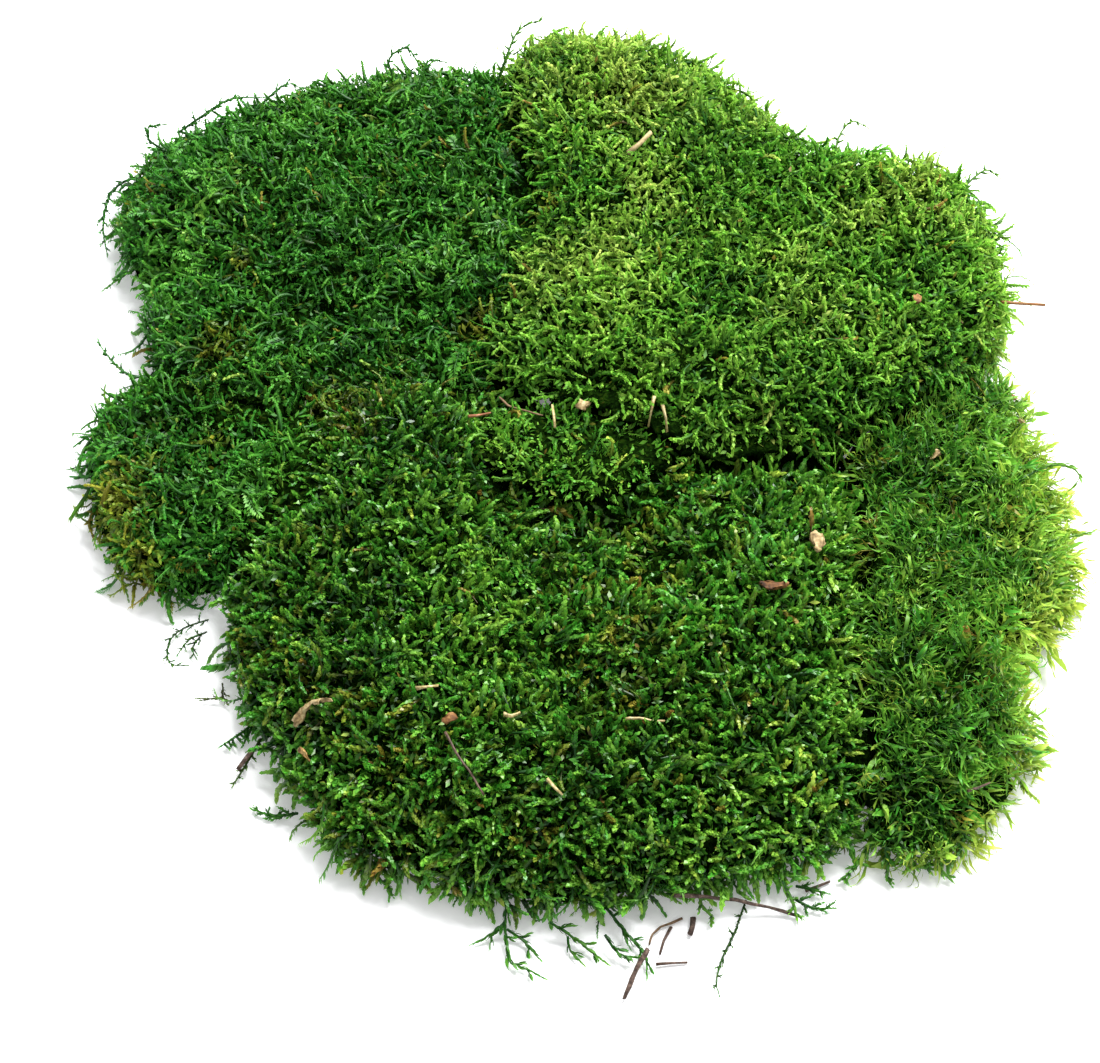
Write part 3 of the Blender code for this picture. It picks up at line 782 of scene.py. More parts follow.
@dataclass
class MossMat:
    """One mat: its felt and the shoots that cover it."""

    node: str
    slot: Slot
    finish: LeafFinish
    habit: Habit
    kinds: tuple[tuple[Shoot, float, float], ...]   # shoots, with their shares on top and at the rim
    pieces: tuple[str, ...]                      # names, for shares of the mat from left to right
    seed: int
    patches: tuple[Patch, ...] = ()
    size_range: tuple[float, float] = (0.8, 1.2)
    felt_depth: float = 5.0                      # mm from the tips to the felt
    lower_leaves: float = 0.62                   # leaves a square millimetre below the shoots

    def relief(self, places: np.ndarray) -> np.ndarray:
        """Height in mm of the tips over the solid's surface at each point: lumps with creases."""
        high = self.habit.lumps * LUMP_SHARE * field_noise(places, LUMP_SIZE, self.seed + 0.3)
        edges = np.abs(field_noise(places, CREASE_SIZE, self.seed + 5.1))
        creases = np.minimum(edges * CREASE_SLOPE, 1.0)
        high -= self.habit.lumps * (1 - creases)
        for patch in self.patches:
            high += patch.rise * patch.weight(places)
        return high

    def tones(self, places: np.ndarray, high: np.ndarray, rng: np.random.Generator) -> np.ndarray:
        """Tone of each shoot, from 0 for dead to 1 for the palest new growth, with painted shade making
        it darker in hollows.

        Args:
            places: The shoots' points.
            high: The mat's relief there.
            rng: The source of chance.

        Returns:
            The tones.
        """
        habit = self.habit
        tone = habit.tone + habit.tone_patches * field_noise(places, TONE_LUMP, self.seed + 2.7)
        tone += habit.tone_patches * 0.5 * field_noise(places, TONE_TUFT, self.seed + 8.2)
        # painted shade: shoots lower in the relief are darker, higher ones lighter
        tone += HEIGHT_SHADE_TONE * high + rng.normal(0, habit.tone_scatter, len(places))
        for patch in self.patches:
            tone += patch.tone * patch.weight(places)
        chance = rng.random(len(places))
        tone = np.where(chance < DEAD_SHARE, rng.uniform(*DEAD_TONES, len(places)), tone)
        tone = np.where(chance > 1 - DEAD_SHARE, rng.uniform(*PALE_TONES, len(places)), tone)
        return tone.clip(*TONE_RANGE)

    def lightening(self, places: np.ndarray) -> np.ndarray:
        """How much further on the way from dark to light the shoots at these points are, the patches'
        painted shade included.
        """
        lighten = self.habit.lighten + YOUTH_SPREAD * field_noise(places, YOUTH_LUMP, self.seed + 6.4)
        for patch in self.patches:
            lighten += patch.lighten * patch.weight(places)
        return lighten

    def directions(
        self, places: np.ndarray, normals: np.ndarray, rim: np.ndarray, rng: np.random.Generator,
    ) -> np.ndarray:
        """The way that each shoot grows.

        Args:
            places: The shoots' points.
            normals: The surface's normals there.
            rim: How near each is to the rim, from 0 to 1.
            rng: The source of chance.

        Returns:
            Unit vectors.
        """
        habit = self.habit
        shared = np.stack(
            [field_noise(places, habit.clump_size, self.seed + 11.3 * k) for k in (1, 2, 3)], 1)
        own = unit(rng.normal(0, 1, (len(places), 3))) * rng.uniform(0.2, 1.0, (len(places), 1))
        own *= 1 + 0.9 * rim[:, None]
        way = normals * habit.upright + shared * habit.clump + own * habit.scatter
        way += np.array(habit.comb)
        inward = (way * normals).sum(axis=1)
        way += normals * np.maximum(LEAST_OUTWARD - inward, 0)[:, None]
        return unit(way)

    def cover(self, surface: Surface, others: Sequence[Surface], litter: KDTree) -> list[Form]:
        """Plant the shoots.

        Args:
            surface: The mat's own surface.
            others: The other mats, which may lie over it.
            litter: Points of the litter that presses shoots down.

        Returns:
            One form for each of the mat's pieces.
        """
        rng = np.random.default_rng(self.seed)
        habit = self.habit
        places, normals = surface.seats(habit.spacing, rng)
        open_air = [not covered(p, n, others) for p, n in zip(places, normals)]
        places, normals = places[open_air], normals[open_air]
        normals[:, 2] = np.maximum(normals[:, 2], LEAST_UPWARD)
        normals = unit(normals)
        count = len(places)
        high = self.relief(places)
        rim = 1 - np.clip(normals[:, 2] * RIM_SLOPE, 0, 1)
        high = np.maximum(high, -THIN_SHARE * surface.thickness(places, normals))
        tone = self.tones(places, high, rng) + habit.tone_rim * rim
        way = self.directions(places, normals, rim, rng)
        size, high = self.stood_out(places, high, rim, rng)
        pressed = np.array([litter.find(Vector((x, y, 0)))[2] < PRESS_REACH for x, y, _ in places])
        high = np.where(pressed, np.minimum(high, PRESS_HEIGHT), high)
        mix = np.array([shares for _, *shares in self.kinds])
        odds = np.cumsum(mix[:, 0] + (mix[:, 1] - mix[:, 0]) * rim[:, None], axis=1)
        kind = (rng.random(count)[:, None] * odds[:, -1:] > odds).sum(axis=1)
        length = np.array([shoot.length for shoot, *_ in self.kinds])[kind] * size
        lift = np.maximum(length * (way * normals).sum(axis=1), LEAST_LIFT)
        feet = places - normals * np.maximum(lift - high, ROOT_DEPTH)[:, None]
        sway = np.zeros((count, 3))
        hang = (habit.droop + habit.rim_droop * rim) * length
        sway[:, 2] = -hang * rng.uniform(*HANG_SPREAD, count)
        tips = feet[:, 2] + way[:, 2] * length + sway[:, 2]
        lowest = np.minimum(tips, feet[:, 2] + FOOT_ALLOWANCE)
        feet[:, 2] += np.maximum(LOWEST_TIP - lowest, 0)
        axes = self.frames(way, normals, kind, size, rng)
        start = np.stack([self.lightening(places), tone.clip(*TONE_RANGE)], axis=1)
        piece = self.shares_of(places)
        plants = [[shoot.grow(rng) for _ in range(VARIANTS)] for shoot, *_ in self.kinds]
        variant = rng.integers(VARIANTS, size=count)
        forms = []
        for number, lower in enumerate(self.undergrowth(surface, others, rng)):
            parts = [lower]
            for k, grown in enumerate(plants):
                for v, plant in enumerate(grown):
                    mine = (piece == number) & (kind == k) & (variant == v)
                    parts.append(plant.copies(
                        axes[mine], feet[mine], start[mine], np.ones((mine.sum(), 2)), sway[mine]))
            forms.append(above_ground(Form.joined(parts)))
        return forms

    def stood_out(
        self, places: np.ndarray, high: np.ndarray, rim: np.ndarray, rng: np.random.Generator,
    ) -> tuple[np.ndarray, np.ndarray]:
        """Let the rim's shoots and the strays stand out from the rest.

        Args:
            places: The shoots' points.
            high: The mat's relief there.
            rim: How near each is to the rim, from 0 to 1.
            rng: The source of chance.

        Returns:
            The shoots' sizes and the heights of their tips over the surface.
        """
        habit, count = self.habit, len(places)
        size = rng.uniform(*self.size_range, count)
        tufts = np.maximum(field_noise(places, TUFT_SIZE, self.seed + 3.9), TUFT_GAP)
        ragged = 0.3 + 1.5 * tufts
        fringe = rim * habit.fringe * rng.beta(*FRINGE_CHANCE, count) * 2 * ragged
        high = high * (1 - 0.5 * rim) + fringe
        stray = rng.random(count) < habit.stray * (1 + RIM_STRAYS * rim)
        size = np.where(stray, size * STRAY_SIZE, size)
        return size, np.where(stray, high + rng.uniform(*STRAY_RISE, count), high)

    def frames(
        self, way: np.ndarray, normals: np.ndarray, kind: np.ndarray, size: np.ndarray,
        rng: np.random.Generator,
    ) -> np.ndarray:
        """Turn each shoot about its own way; a flat one keeps its face to the light.

        Args:
            way: The way that each shoot grows.
            normals: The surface's normals at their feet.
            kind: The number of each one's kind.
            size: Their sizes.
            rng: The source of chance.

        Returns:
            For each shoot, a matrix whose columns are its sized axes.
        """
        count = len(way)
        flat = np.array([shoot.rows is Rows.TWO_SIDES for shoot, *_ in self.kinds])[kind]
        spin = np.where(flat, rng.normal(0, FLAT_SPIN, count), rng.uniform(0, 2 * math.pi, count))
        side = unit(np.cross(way, normals))
        under = np.cross(way, side)
        first = side * np.cos(spin)[:, None] + under * np.sin(spin)[:, None]
        second = np.cross(way, first)
        width = size * rng.uniform(*WIDTH_SPREAD, count)
        return np.stack(
            [first * width[:, None], second * width[:, None], way * size[:, None]], axis=2)

    def undergrowth(
        self, surface: Surface, others: Sequence[Surface], rng: np.random.Generator,
    ) -> list[Form]:
        """Fill the depth between the shoots with single lower leaves.

        Args:
            surface: The mat's own surface.
            others: The other mats.
            rng: The source of chance.

        Returns:
            One form for each of the mat's pieces.
        """
        places, normals = surface.points_on(self.lower_leaves, rng)
        open_air = [not covered(p, n, others) for p, n in zip(places, normals)]
        places, normals = places[open_air], normals[open_air]
        count = len(places)
        high = np.minimum(self.relief(places), 1.0)
        way = unit(normals * 0.6 + unit(rng.normal(0, 1, (count, 3))) * 0.9)
        first = unit(np.cross(way, unit(rng.normal(0, 1, (count, 3)))))
        size = rng.uniform(*LOWER_SIZES, count)
        axes = np.stack([first, np.cross(way, first), way], axis=2) * size[:, None, None]
        thick = surface.thickness(places, normals)
        depth = np.minimum(rng.uniform(*LOWER_DEPTH, count), thick * LOWER_SHARE)
        feet = places + normals * (high - depth)[:, None]
        feet[:, 2] = np.maximum(feet[:, 2], LOWER_FOOT)
        # painted shade: the deeper a lower leaf stands, the darker it is
        light = LOWER_LIGHT - LOWER_SHADE_PER_MM * depth + rng.normal(0, LOWER_LIGHT_SPREAD, count)
        light = light + self.lightening(places)
        tone = self.tones(places, high, rng) + self.habit.tone_rim * 0.5
        start = np.stack([light.clip(0.0, LOWER_LIGHTEST), tone.clip(*TONE_RANGE)], axis=1)
        span = np.stack([np.full(count, LOWER_SPAN), np.ones(count)], axis=1)
        leaf = LOWER_LEAF.form()
        piece = self.shares_of(places)
        return [
            above_ground(leaf.copies(axes[mine], feet[mine], start[mine], span[mine]))
            for mine in (piece == number for number in range(len(self.pieces)))
        ]

    def shares_of(self, places: np.ndarray) -> np.ndarray:
        """The number of the piece that each point belongs to, from left to right."""
        order = np.argsort(np.argsort(places[:, 0]))
        return np.minimum(order * len(self.pieces) // len(places), len(self.pieces) - 1)

    def felt(
        self, node: bpy.types.Object, surface: Surface, others: Sequence[Surface],
    ) -> bpy.types.Object:
        """Shrink a copy of the mat's solid to the tangle of dead stems below its shoots.

        Args:
            node: The mat's object.
            surface: Its surface.
            others: The other mats, against which the felt stays full.

        Returns:
            The new piece.
        """
        core = solid_in_mm(node)
        bmesh.ops.subdivide_edges(core, edges=core.edges, cuts=1, use_grid_fill=True)
        core.normal_update()
        moved = []
        for vert in core.verts:
            near = min((other.tree.find_nearest(vert.co)[3] for other in others), default=FAR)
            share = min(1.0, max(FELT_LEAST, near / NEIGHBOUR_REACH))
            sunk = -min(0.0, float(self.relief(np.array([vert.co]))[0]))
            rough = sum(noise.noise(vert.co / across) * deep for across, deep in FELT_LUMPS)
            inner = vert.co - vert.normal * JUST_INSIDE
            thick = surface.tree.ray_cast(inner, -vert.normal)[3] or 0.0
            depth = FELT_CONTACT + (self.felt_depth + rough) * share + sunk * FELT_SINK
            depth = min(depth, thick * FELT_SHARE)
            place = vert.co - vert.normal * depth
            floor = FELT_FLOORS[0 if vert.co.z < FELT_UNDERSIDE else 1]
            moved.append(Vector((place.x, place.y, max(place.z, floor))))
        for vert, place in zip(core.verts, moved):
            vert.co = place * MM
        return add_shape(self.node + "_felt", core)

    def build(self, surfaces: dict[str, Surface], litter: KDTree,
              felt: bpy.types.Material) -> list[bpy.types.Object]:
        """Make the mat's pieces, dress them and let them ride.

        Args:
            surfaces: The surface of every mat.
            litter: Points of the litter.
            felt: The felt's material.

        Returns:
            The new pieces.
        """
        others = [surface for name, surface in surfaces.items() if name != self.node]
        material = self.finish.material()
        made = []
        for name, form in zip(self.pieces, self.cover(surfaces[self.node], others, litter)):
            piece = form.to_object(name)
            piece.data.materials.append(material)
            made.append(piece)
        base = self.felt(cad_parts[self.node], surfaces[self.node], others)
        base.data.materials.append(felt)
        made.append(base)
        for piece in made:
            enter(piece, self.slot, self.node)
        return made


# Foot colours: partly the older growth's own colour, partly painted shade deep in the mat.
FEET: Stops = (
    (0.0, "#3a2610"), (0.2, "#45460f"), (0.45, "#123f0e"), (0.7, "#225c16"), (1.0, "#5f7c1c"))
TIPS_DEEP: Stops = (
    (0.0, "#a57e3e"), (0.2, "#a3a63a"), (0.45, "#46a02c"), (0.7, "#93ca46"), (1.0, "#cddd5a"))
TIPS_COOL: Stops = (
    (0.0, "#9c8a3a"), (0.2, "#a9ae34"), (0.45, "#379028"), (0.7, "#6fb83c"), (1.0, "#cfe66a"))
TIPS_BRIGHT: Stops = (
    (0.0, "#aa864a"), (0.2, "#aeb23e"), (0.45, "#54b030"), (0.7, "#9ad44a"), (1.0, "#e6f480"))

LOWER_LEAF = Leaf(2.4, 1.0, bend=45.0, cup=0.4)
LOWER_DEPTH = (1.4, 4.6)       # mm from the tips down to the feet of the lower leaves
LOWER_SHARE = 0.3              # share of a thin mat's thickness below which none stands
LOWER_LIGHT = 0.42             # how far they are from dark to light
PLUMP = Shoot(
    7.0, Leaf(2.0, 1.1, bend=60.0), 23, spread=(58.0, 32.0), taper=(0.9, 1.1, 0.85), wander=45.0,
    stem=(0.7, 1.1, 1.1, 0.4), stem_steps=2, bare=0.25, light=0.5)
WORM = Shoot(
    8.5, Leaf(1.6, 0.85, bend=50.0), 24, spread=(55.0, 32.0), taper=(0.9, 1.0, 0.9), wander=80.0,
    stem=(0.6, 0.95, 0.95, 0.9, 0.4), stem_steps=3, bare=0.22, light=0.45)
FEATHER = Shoot(
    8.0, Leaf(1.5, 1.0, bend=55.0), 22, spread=(54.0, 30.0), taper=(0.9, 1.05, 0.85), wander=105.0,
    stem=(0.7, 1.2, 1.15, 0.95, 0.4), stem_steps=4, bare=0.22, light=0.5)
PLUME = Shoot(
    10.0, Leaf(2.4, 0.9, bend=35.0, cup=0.5), 25, spread=(64.0, 34.0), taper=(0.8, 1.05, 0.4),
    wander=80.0, rows=Rows.TWO_SIDES, stem=(0.5, 0.8, 0.15), stem_steps=2, bare=0.1, light=0.55)
BLADE = Shoot(
    6.0, Leaf(7.0, 0.74, bend=120.0, rows=4, twist=230.0, blunt=0.4), 7, spread=(100.0, 45.0),
    taper=(0.8, 1.0, 0.8), wander=60.0, stem=(0.5, 0.3), stem_steps=1, bare=0.15, light=0.6,
    unruly=24.0)
BROAD = Shoot(
    7.0, Leaf(4.2, 1.5, bend=60.0, rows=4, twist=70.0), 7, spread=(60.0, 25.0),
    taper=(0.7, 1.0, 0.8), wander=60.0, stem=(0.6, 0.4), stem_steps=1, bare=0.2, light=0.45,
    unruly=16.0)
FINE = Shoot(
    9.0, Leaf(1.7, 0.7, bend=20.0), 22, spread=(58.0, 30.0), wander=80.0, stem=(0.4, 0.6, 0.1))
CURL = Shoot(
    11.0, Leaf(1.3, 0.7, bend=30.0), 25, spread=(62.0, 36.0), taper=(0.9, 1.0, 0.6), wander=200.0,
    stem=(0.5, 0.65, 0.55, 0.2), stem_steps=4, light=0.45)
WIRY = Shoot(
    14.0, Leaf(1.0, 0.5, bend=20.0), 16, spread=(45.0, 30.0), wander=170.0,
    stem=(0.35, 0.45, 0.1), stem_steps=5, light=0.3)

BACK_LEFT = MossMat(
    "back_left_mat", Slot.COOL_GREEN,
    LeafFinish("damp_feather_moss", FEET, TIPS_COOL, roughness=0.45, shine=0.35),
    Habit(2.0, upright=0.55, scatter=0.7, clump=0.7, clump_size=8.0, comb=(-0.45, -0.15, 0.0),
          droop=0.15, lumps=3.4, tone=0.56, fringe=4.0, stray=0.03, lighten=0.03),
    ((FEATHER, 0.84, 0.5), (PLUME, 0.1, 0.1), (CURL, 0.06, 0.4)),
    ("back_left_moss_left", "back_left_moss_right"), 11,
    # Painted shade: the hollow and the small spots of darker tone, three of them along the edge of the
    # top right mat that lies over this one.
    patches=(
        Patch(-66, 40, 22, -1.5, -0.05), Patch(-100, 70, 7, 0, -0.25), Patch(-105, 42, 7, 0, -0.25),
        Patch(-74, 20, 6, 0, -0.25), Patch(-24, 47, 8, 0, -0.25), Patch(-6, 81, 8, 0, -0.28),
        Patch(-16, 110, 8, 0, -0.25), Patch(-130, 90, 26, 0, 0.04, 0.08)),
)
LEFT_LOBE = MossMat(
    "left_lobe_mat", Slot.COOL_GREEN,
    LeafFinish("olive_fringe_moss", FEET, TIPS_COOL, roughness=0.45, shine=0.35),
    Habit(2.0, upright=0.55, scatter=0.8, clump=0.6, comb=(-0.3, -0.15, 0.0), tone=0.54,
          fringe=4.0, stray=0.06, lighten=0.06),
    ((FEATHER, 0.66, 0.4), (PLUME, 0.08, 0.05), (CURL, 0.26, 0.55)), ("left_lobe_moss",), 12,
    patches=(Patch(-131, -14, 11, 0, -0.26, 0.12), Patch(-121, -33, 9, 0, -0.26, 0.12)),
)
FRONT = MossMat(
    "front_mat", Slot.DEEP_GREEN,
    LeafFinish("plump_carpet_moss", FEET, TIPS_DEEP, roughness=0.36, shine=0.5),
    Habit(1.9, upright=0.62, scatter=0.85, clump=0.6, tone=0.54, tone_scatter=0.09, lumps=3.0,
          lighten=0.02),
    ((PLUMP, 0.9, 0.5), (WORM, 0.06, 0.2), (CURL, 0.04, 0.3)),
    ("front_moss_left", "front_moss_right"), 13,
    # Painted shade: the patches that sink the mat also darken it, in its hollows and under the top right
    # mat's front edge.
    patches=(
        Patch(2, -24, 16, -2.5, -0.06, -0.05), Patch(-18, -8, 14, -2.5, -0.06, -0.05),
        Patch(24, -38, 14, -1.5, -0.03), Patch(60, 2, 18, -2.0, -0.06),
        Patch(-50, 8, 26, 1.5, -0.08, -0.2), Patch(-60, -30, 18, 0.5, -0.04, -0.08),
        Patch(14, -118, 24, 0, -0.03, -0.1),
        Patch(-62, -64, 24, 0, -0.06, -0.1), Patch(70, -50, 26, 0.5, 0.04, 0.03)),
)
RIGHT_LEAFY = MossMat(
    "right_leafy_mat", Slot.LEAFY,
    LeafFinish("broad_leaved_moss", FEET, TIPS_DEEP, roughness=0.4, glow=0.32, shine=0.35),
    Habit(2.0, upright=0.45, scatter=1.2, clump=0.5, tone=0.55, tone_scatter=0.08, fringe=5.0,
          tone_rim=0.4, lumps=3.8, lighten=0.03),
    ((BLADE, 0.86, 0.5), (BROAD, 0.03, 0.35), (WORM, 0.11, 0.15)), ("right_leafy_moss",), 14,
    patches=(Patch(138, -26, 16, 0, 0.2, 0.18), Patch(122, -62, 11, 0, 0.22, 0.2),
             Patch(122, -86, 10, 0, 0.08, 0.12), Patch(134, 6, 12, 0, 0.14, 0.14),
             Patch(129, -71, 9, -7), Patch(124, -103, 12, -7), Patch(112, -114, 12, -6)),
    lower_leaves=0.22,
)
CENTRE_TUFT = MossMat(
    "centre_tuft", Slot.FEATHERY,
    LeafFinish("fine_wavy_moss", FEET, TIPS_DEEP, roughness=0.45),
    Habit(1.8, upright=0.6, scatter=0.7, clump=0.8, tone=0.54, lumps=1.5, lighten=0.1),
    ((FEATHER, 0.5, 0.5), (FINE, 0.35, 0.3), (CURL, 0.15, 0.2)), ("centre_tuft_moss",), 15,
)
TOP_RIGHT = MossMat(
    "top_right_mat", Slot.BRIGHT_GREEN,
    LeafFinish("bright_tangled_moss", FEET, TIPS_BRIGHT, roughness=0.48, glow=0.38),
    Habit(1.98, upright=0.6, scatter=0.85, clump=0.65, tone=0.66, fringe=5.0, stray=0.03,
          tone_rim=0.05, lighten=0.04),
    ((WORM, 0.88, 0.5), (FINE, 0.06, 0.1), (WIRY, 0.06, 0.4)),
    ("top_right_moss_left", "top_right_moss_right"), 16,
    # Painted shade: the small spots of darker tone along this mat's front and left edges.
    patches=(
        Patch(8, 137, 34, 0, 0.14), Patch(36, -14, 7, -1, -0.3), Patch(50, -13, 8, -1, -0.35),
        Patch(74, -4, 6, 0, -0.25), Patch(104, 14, 9, -0.5, -0.32), Patch(-14, 108, 9, 0, -0.3),
        Patch(-8, 86, 9, 0, -0.32), Patch(-26, 50, 8, 0, -0.2)),
)
MATS = (BACK_LEFT, LEFT_LOBE, FRONT, RIGHT_LEAFY, CENTRE_TUFT, TOP_RIGHT)


def smooth_line(route: Route, step: float = 0.6) -> tuple[np.ndarray, np.ndarray]:
    """Run a smooth curve through the points of a route.

    Args:
        route: Points in mm in the plan.
        step: The distance in mm between the curve's points.

    Returns:
        The curve's points in the frame, and its direction at each.
    """
    knots = np.array(route, dtype=float)
    knots[:, :2] += PLAN_ORIGIN
    knots = np.concatenate([[2 * knots[0] - knots[1]], knots, [2 * knots[-1] - knots[-2]]])
    places = []
    for a, b, c, d in zip(knots, knots[1:], knots[2:], knots[3:]):
        count = max(2, int(np.linalg.norm(c - b) / step))
        t = np.linspace(0, 1, count, endpoint=False)[:, None]
        places.append(0.5 * (
            2 * b + (c - a) * t + (2 * a - 5 * b + 4 * c - d) * t ** 2
            + (3 * b - a - 3 * c + d) * t ** 3))
    line = np.concatenate([*places, knots[-2:-1]])
    return line, unit(np.gradient(line, axis=0))


class Sides(Enum):
    """On which sides of a sprig its side shoots stand."""

    BOTH = (1, -1)
    LEFT = (-1,)


@dataclass(frozen=True)
class Sprig:
    """A loose moss frond or a curl at a mat's edge: stems with side shoots, all leafy."""

    routes: tuple[Route, ...]  # the main stem and its forks, in mm in the plan
    tone: float = 0.6
    leaf: Leaf = Leaf(1.7, 0.85, bend=35.0)
    pitch: float = 0.36        # mm between leaves
    stem: tuple[float, ...] = (0.9, 0.9, 0.7, 0.3)
    side_length: float = 0.0   # mm
    side_pitch: float = 1.5    # mm between side shoots
    side_angle: float = 50.0   # degrees between them and the stem
    side_stray: float = 16.0   # degrees that they stray from that
    sides: Sides = Sides.BOTH
    dark: float = 0.1          # where the stem's foot stands on the way from dark to light
    pale: float = 0.75         # and where the tips do

    def leafy(self, line: np.ndarray, ways: np.ndarray, rng: np.random.Generator) -> Form:
        """Set leaves along one stem.

        Args:
            line: Points along it.
            ways: Its direction at each.
            rng: The source of chance.

        Returns:
            The stem and its leaves.
        """
        length = np.linalg.norm(np.diff(line, axis=0), axis=1).sum()
        shoot = Shoot(
            length, self.leaf, max(4, int(length / self.pitch)), spread=(48.0, 26.0),
            taper=(0.8, 1.0, 0.7), stem=self.stem, stem_steps=max(2, int(length / 1.8)),
            bare=0.0, light=0.35)
        return shoot.dress(line, ways, rng)

    def form(self, rng: np.random.Generator) -> Form:
        """Build the sprig.

        Args:
            rng: The source of chance.

        Returns:
            Its shape.
        """
        up = np.array([0.0, 0.0, 1.0])
        parts = []
        for route in self.routes:
            line, ways = smooth_line(route)
            parts.append(self.leafy(line, ways, rng))
            length = np.linalg.norm(np.diff(line, axis=0), axis=1).sum()
            count = int(length / self.side_pitch) if self.side_length else 0
            for number in range(1, count):
                share = number / count
                at = int(share * (len(line) - 1))
                side = self.sides.value[number % len(self.sides.value)]
                across = unit(np.cross(ways[at], up)) * side
                angle = math.radians(self.side_angle + rng.normal(0, self.side_stray))
                reach = self.side_length * (1.1 - 0.7 * share) * rng.uniform(0.7, 1.2)
                t = np.linspace(0, 1, 6)[:, None]
                out = ways[at] * math.cos(angle) + across * math.sin(angle)
                bow = ways[at] * rng.normal(0.2, 0.35) + up * rng.normal(0.1, 0.3)
                twig = line[at] + reach * (out * t + bow * t ** 2)
                parts.append(self.leafy(twig, unit(np.gradient(twig, axis=0)), rng))
        form = Form.joined(parts)
        form.grade[:, 0] = self.dark + (self.pale - self.dark) * form.grade[:, 0]
        form.grade[:, 1] += self.tone
        return above_ground(form)


CURL_TONES = 0.05              # how far the curls of one piece differ in tone
TINY = Leaf(1.2, 0.6, bend=25.0)
COMB = Leaf(3.2, 0.7, bend=75.0, cup=0.5, rows=3, blunt=0.7)
FRONDS = {
    "hanging_frond": Sprig(
        (((-17.5, -131.5, 8), (-18, -136.5, 4), (-17.5, -143, 2), (-16, -147.5, 1.6),
          (-13, -149, 1.6), (-8.5, -151.5, 1.6)),
         ((-18, -137.5, 3.6), (-21.5, -140, 2), (-25.5, -142, 1.4)),
         ((-17.5, -139, 3), (-13.5, -141.5, 1.8), (-9.5, -146, 1.4))),
        tone=0.52, leaf=COMB, pitch=0.5, stem=(0.9, 0.7, 0.4, 0.2), side_length=3.0,
        side_pitch=3.4),
    "middle_frond": Sprig(
        (((-6.5, -138, 5), (0, -141.5, 2.4), (7.5, -147.5, 1.6)),
         ((-2, -141, 3), (-1.5, -144, 1.6), (1.5, -147.5, 1.4))),
        tone=0.58, leaf=COMB, pitch=0.6, stem=(0.8, 0.6, 0.3), side_length=2.6, side_pitch=3.0),
    "front_frond": Sprig(
        (((7.5, -133.5, 5), (13.5, -140.5, 2.5), (17.5, -145.5, 1.6), (18, -151, 1.6)),
         ((7.5, -141, 4), (11, -145.5, 2.5), (16.5, -146.5, 2.2))),
        tone=0.5, leaf=COMB, pitch=0.5, stem=(0.9, 0.7, 0.3), side_length=2.8, side_pitch=3.2),
    "long_strand": Sprig(
        (((44, -131, 3), (41, -138.5, 1.4), (37, -147, 1.2), (35.5, -152.5, 1.2),
          (36, -156, 1.2)),),
        tone=0.42, leaf=TINY, pitch=0.3, stem=(0.6, 0.7, 0.3), side_length=1.6, side_pitch=2.4,
        dark=0.0, pale=0.6),
    "right_sprig": Sprig(
        (((57, -127, 3), (60.5, -127.5, 2.5), (65.5, -128.5, 1.4)),
         ((56, -130, 2.5), (61, -132.5, 1.7), (66.5, -132.5, 1.4))),
        tone=0.5, side_length=2.6, side_pitch=1.6),
    "left_fern_frond": Sprig(
        (((-83.5, -77.5, 6), (-89, -80.5, 2.5), (-96, -85.5, 1.6)),),
        tone=0.48, leaf=Leaf(1.3, 0.8, bend=25.0), side_length=5.0, side_pitch=1.3, side_angle=72.0,
        sides=Sides.LEFT),
    "left_strand": Sprig(
        (((-84.5, -83.5, 3), (-88.5, -91, 1.4), (-91.5, -97.5, 1.2)),),
        tone=0.38, leaf=TINY, pitch=0.35, side_length=2.4, side_pitch=1.6, dark=0.0, pale=0.7),
    "left_loop_frond": Sprig(
        (((-102, -46, 4), (-108, -47, 2), (-112, -50, 1.6), (-113, -55, 1.6),
          (-111.5, -59, 1.6), (-106.5, -59.5, 1.6)),
         ((-103.5, -50, 3), (-106, -54, 2), (-104.5, -57.5, 1.6)),
         ((-102, -50, 4), (-107, -52, 3), (-110, -56, 1.6))),
        tone=0.42, leaf=TINY, pitch=0.36, stem=(0.5, 0.5, 0.3), side_length=2.2, side_pitch=1.5,
        dark=0.0, pale=0.65),
    "left_wiry_sprig": Sprig(
        (((-96.5, -66, 3), (-96.5, -70, 2), (-103.5, -70, 1.4)),
         ((-96.5, -68, 2.4), (-96, -70.5, 1.6), (-94.5, -72, 1.4))),
        tone=0.3, leaf=TINY, pitch=0.3, stem=(0.6, 0.5, 0.2), side_length=2.0, side_pitch=2.4,
        dark=0.0, pale=0.5),
    "left_wisp": Sprig(
        (((-73, -106, 3), (-79.5, -106, 1.6), (-85.5, -104, 1.4)),),
        tone=0.5, pitch=0.3, side_length=2.2, side_pitch=1.4),
}


@dataclass(frozen=True)
class Curls:
    """The longer curled shoots that stand out from one mat's edge against the ground."""

    name: str
    mat: MossMat
    routes: tuple[Route, ...]
    style: Sprig

    def build(self, material: bpy.types.Material) -> bpy.types.Object:
        """Make the piece.

        Args:
            material: The mat's finish.

        Returns:
            The new piece.
        """
        rng = np.random.default_rng(len(self.routes) + self.mat.seed * 10)
        forms = []
        for route in self.routes:
            tone = self.style.tone + rng.normal(0, CURL_TONES)
            forms.append(replace(self.style, routes=(route,), tone=tone).form(rng))
        piece = Form.joined(forms).to_object(self.name)
        piece.data.materials.append(material)
        enter(piece, self.mat.slot, self.mat.node)
        return piece


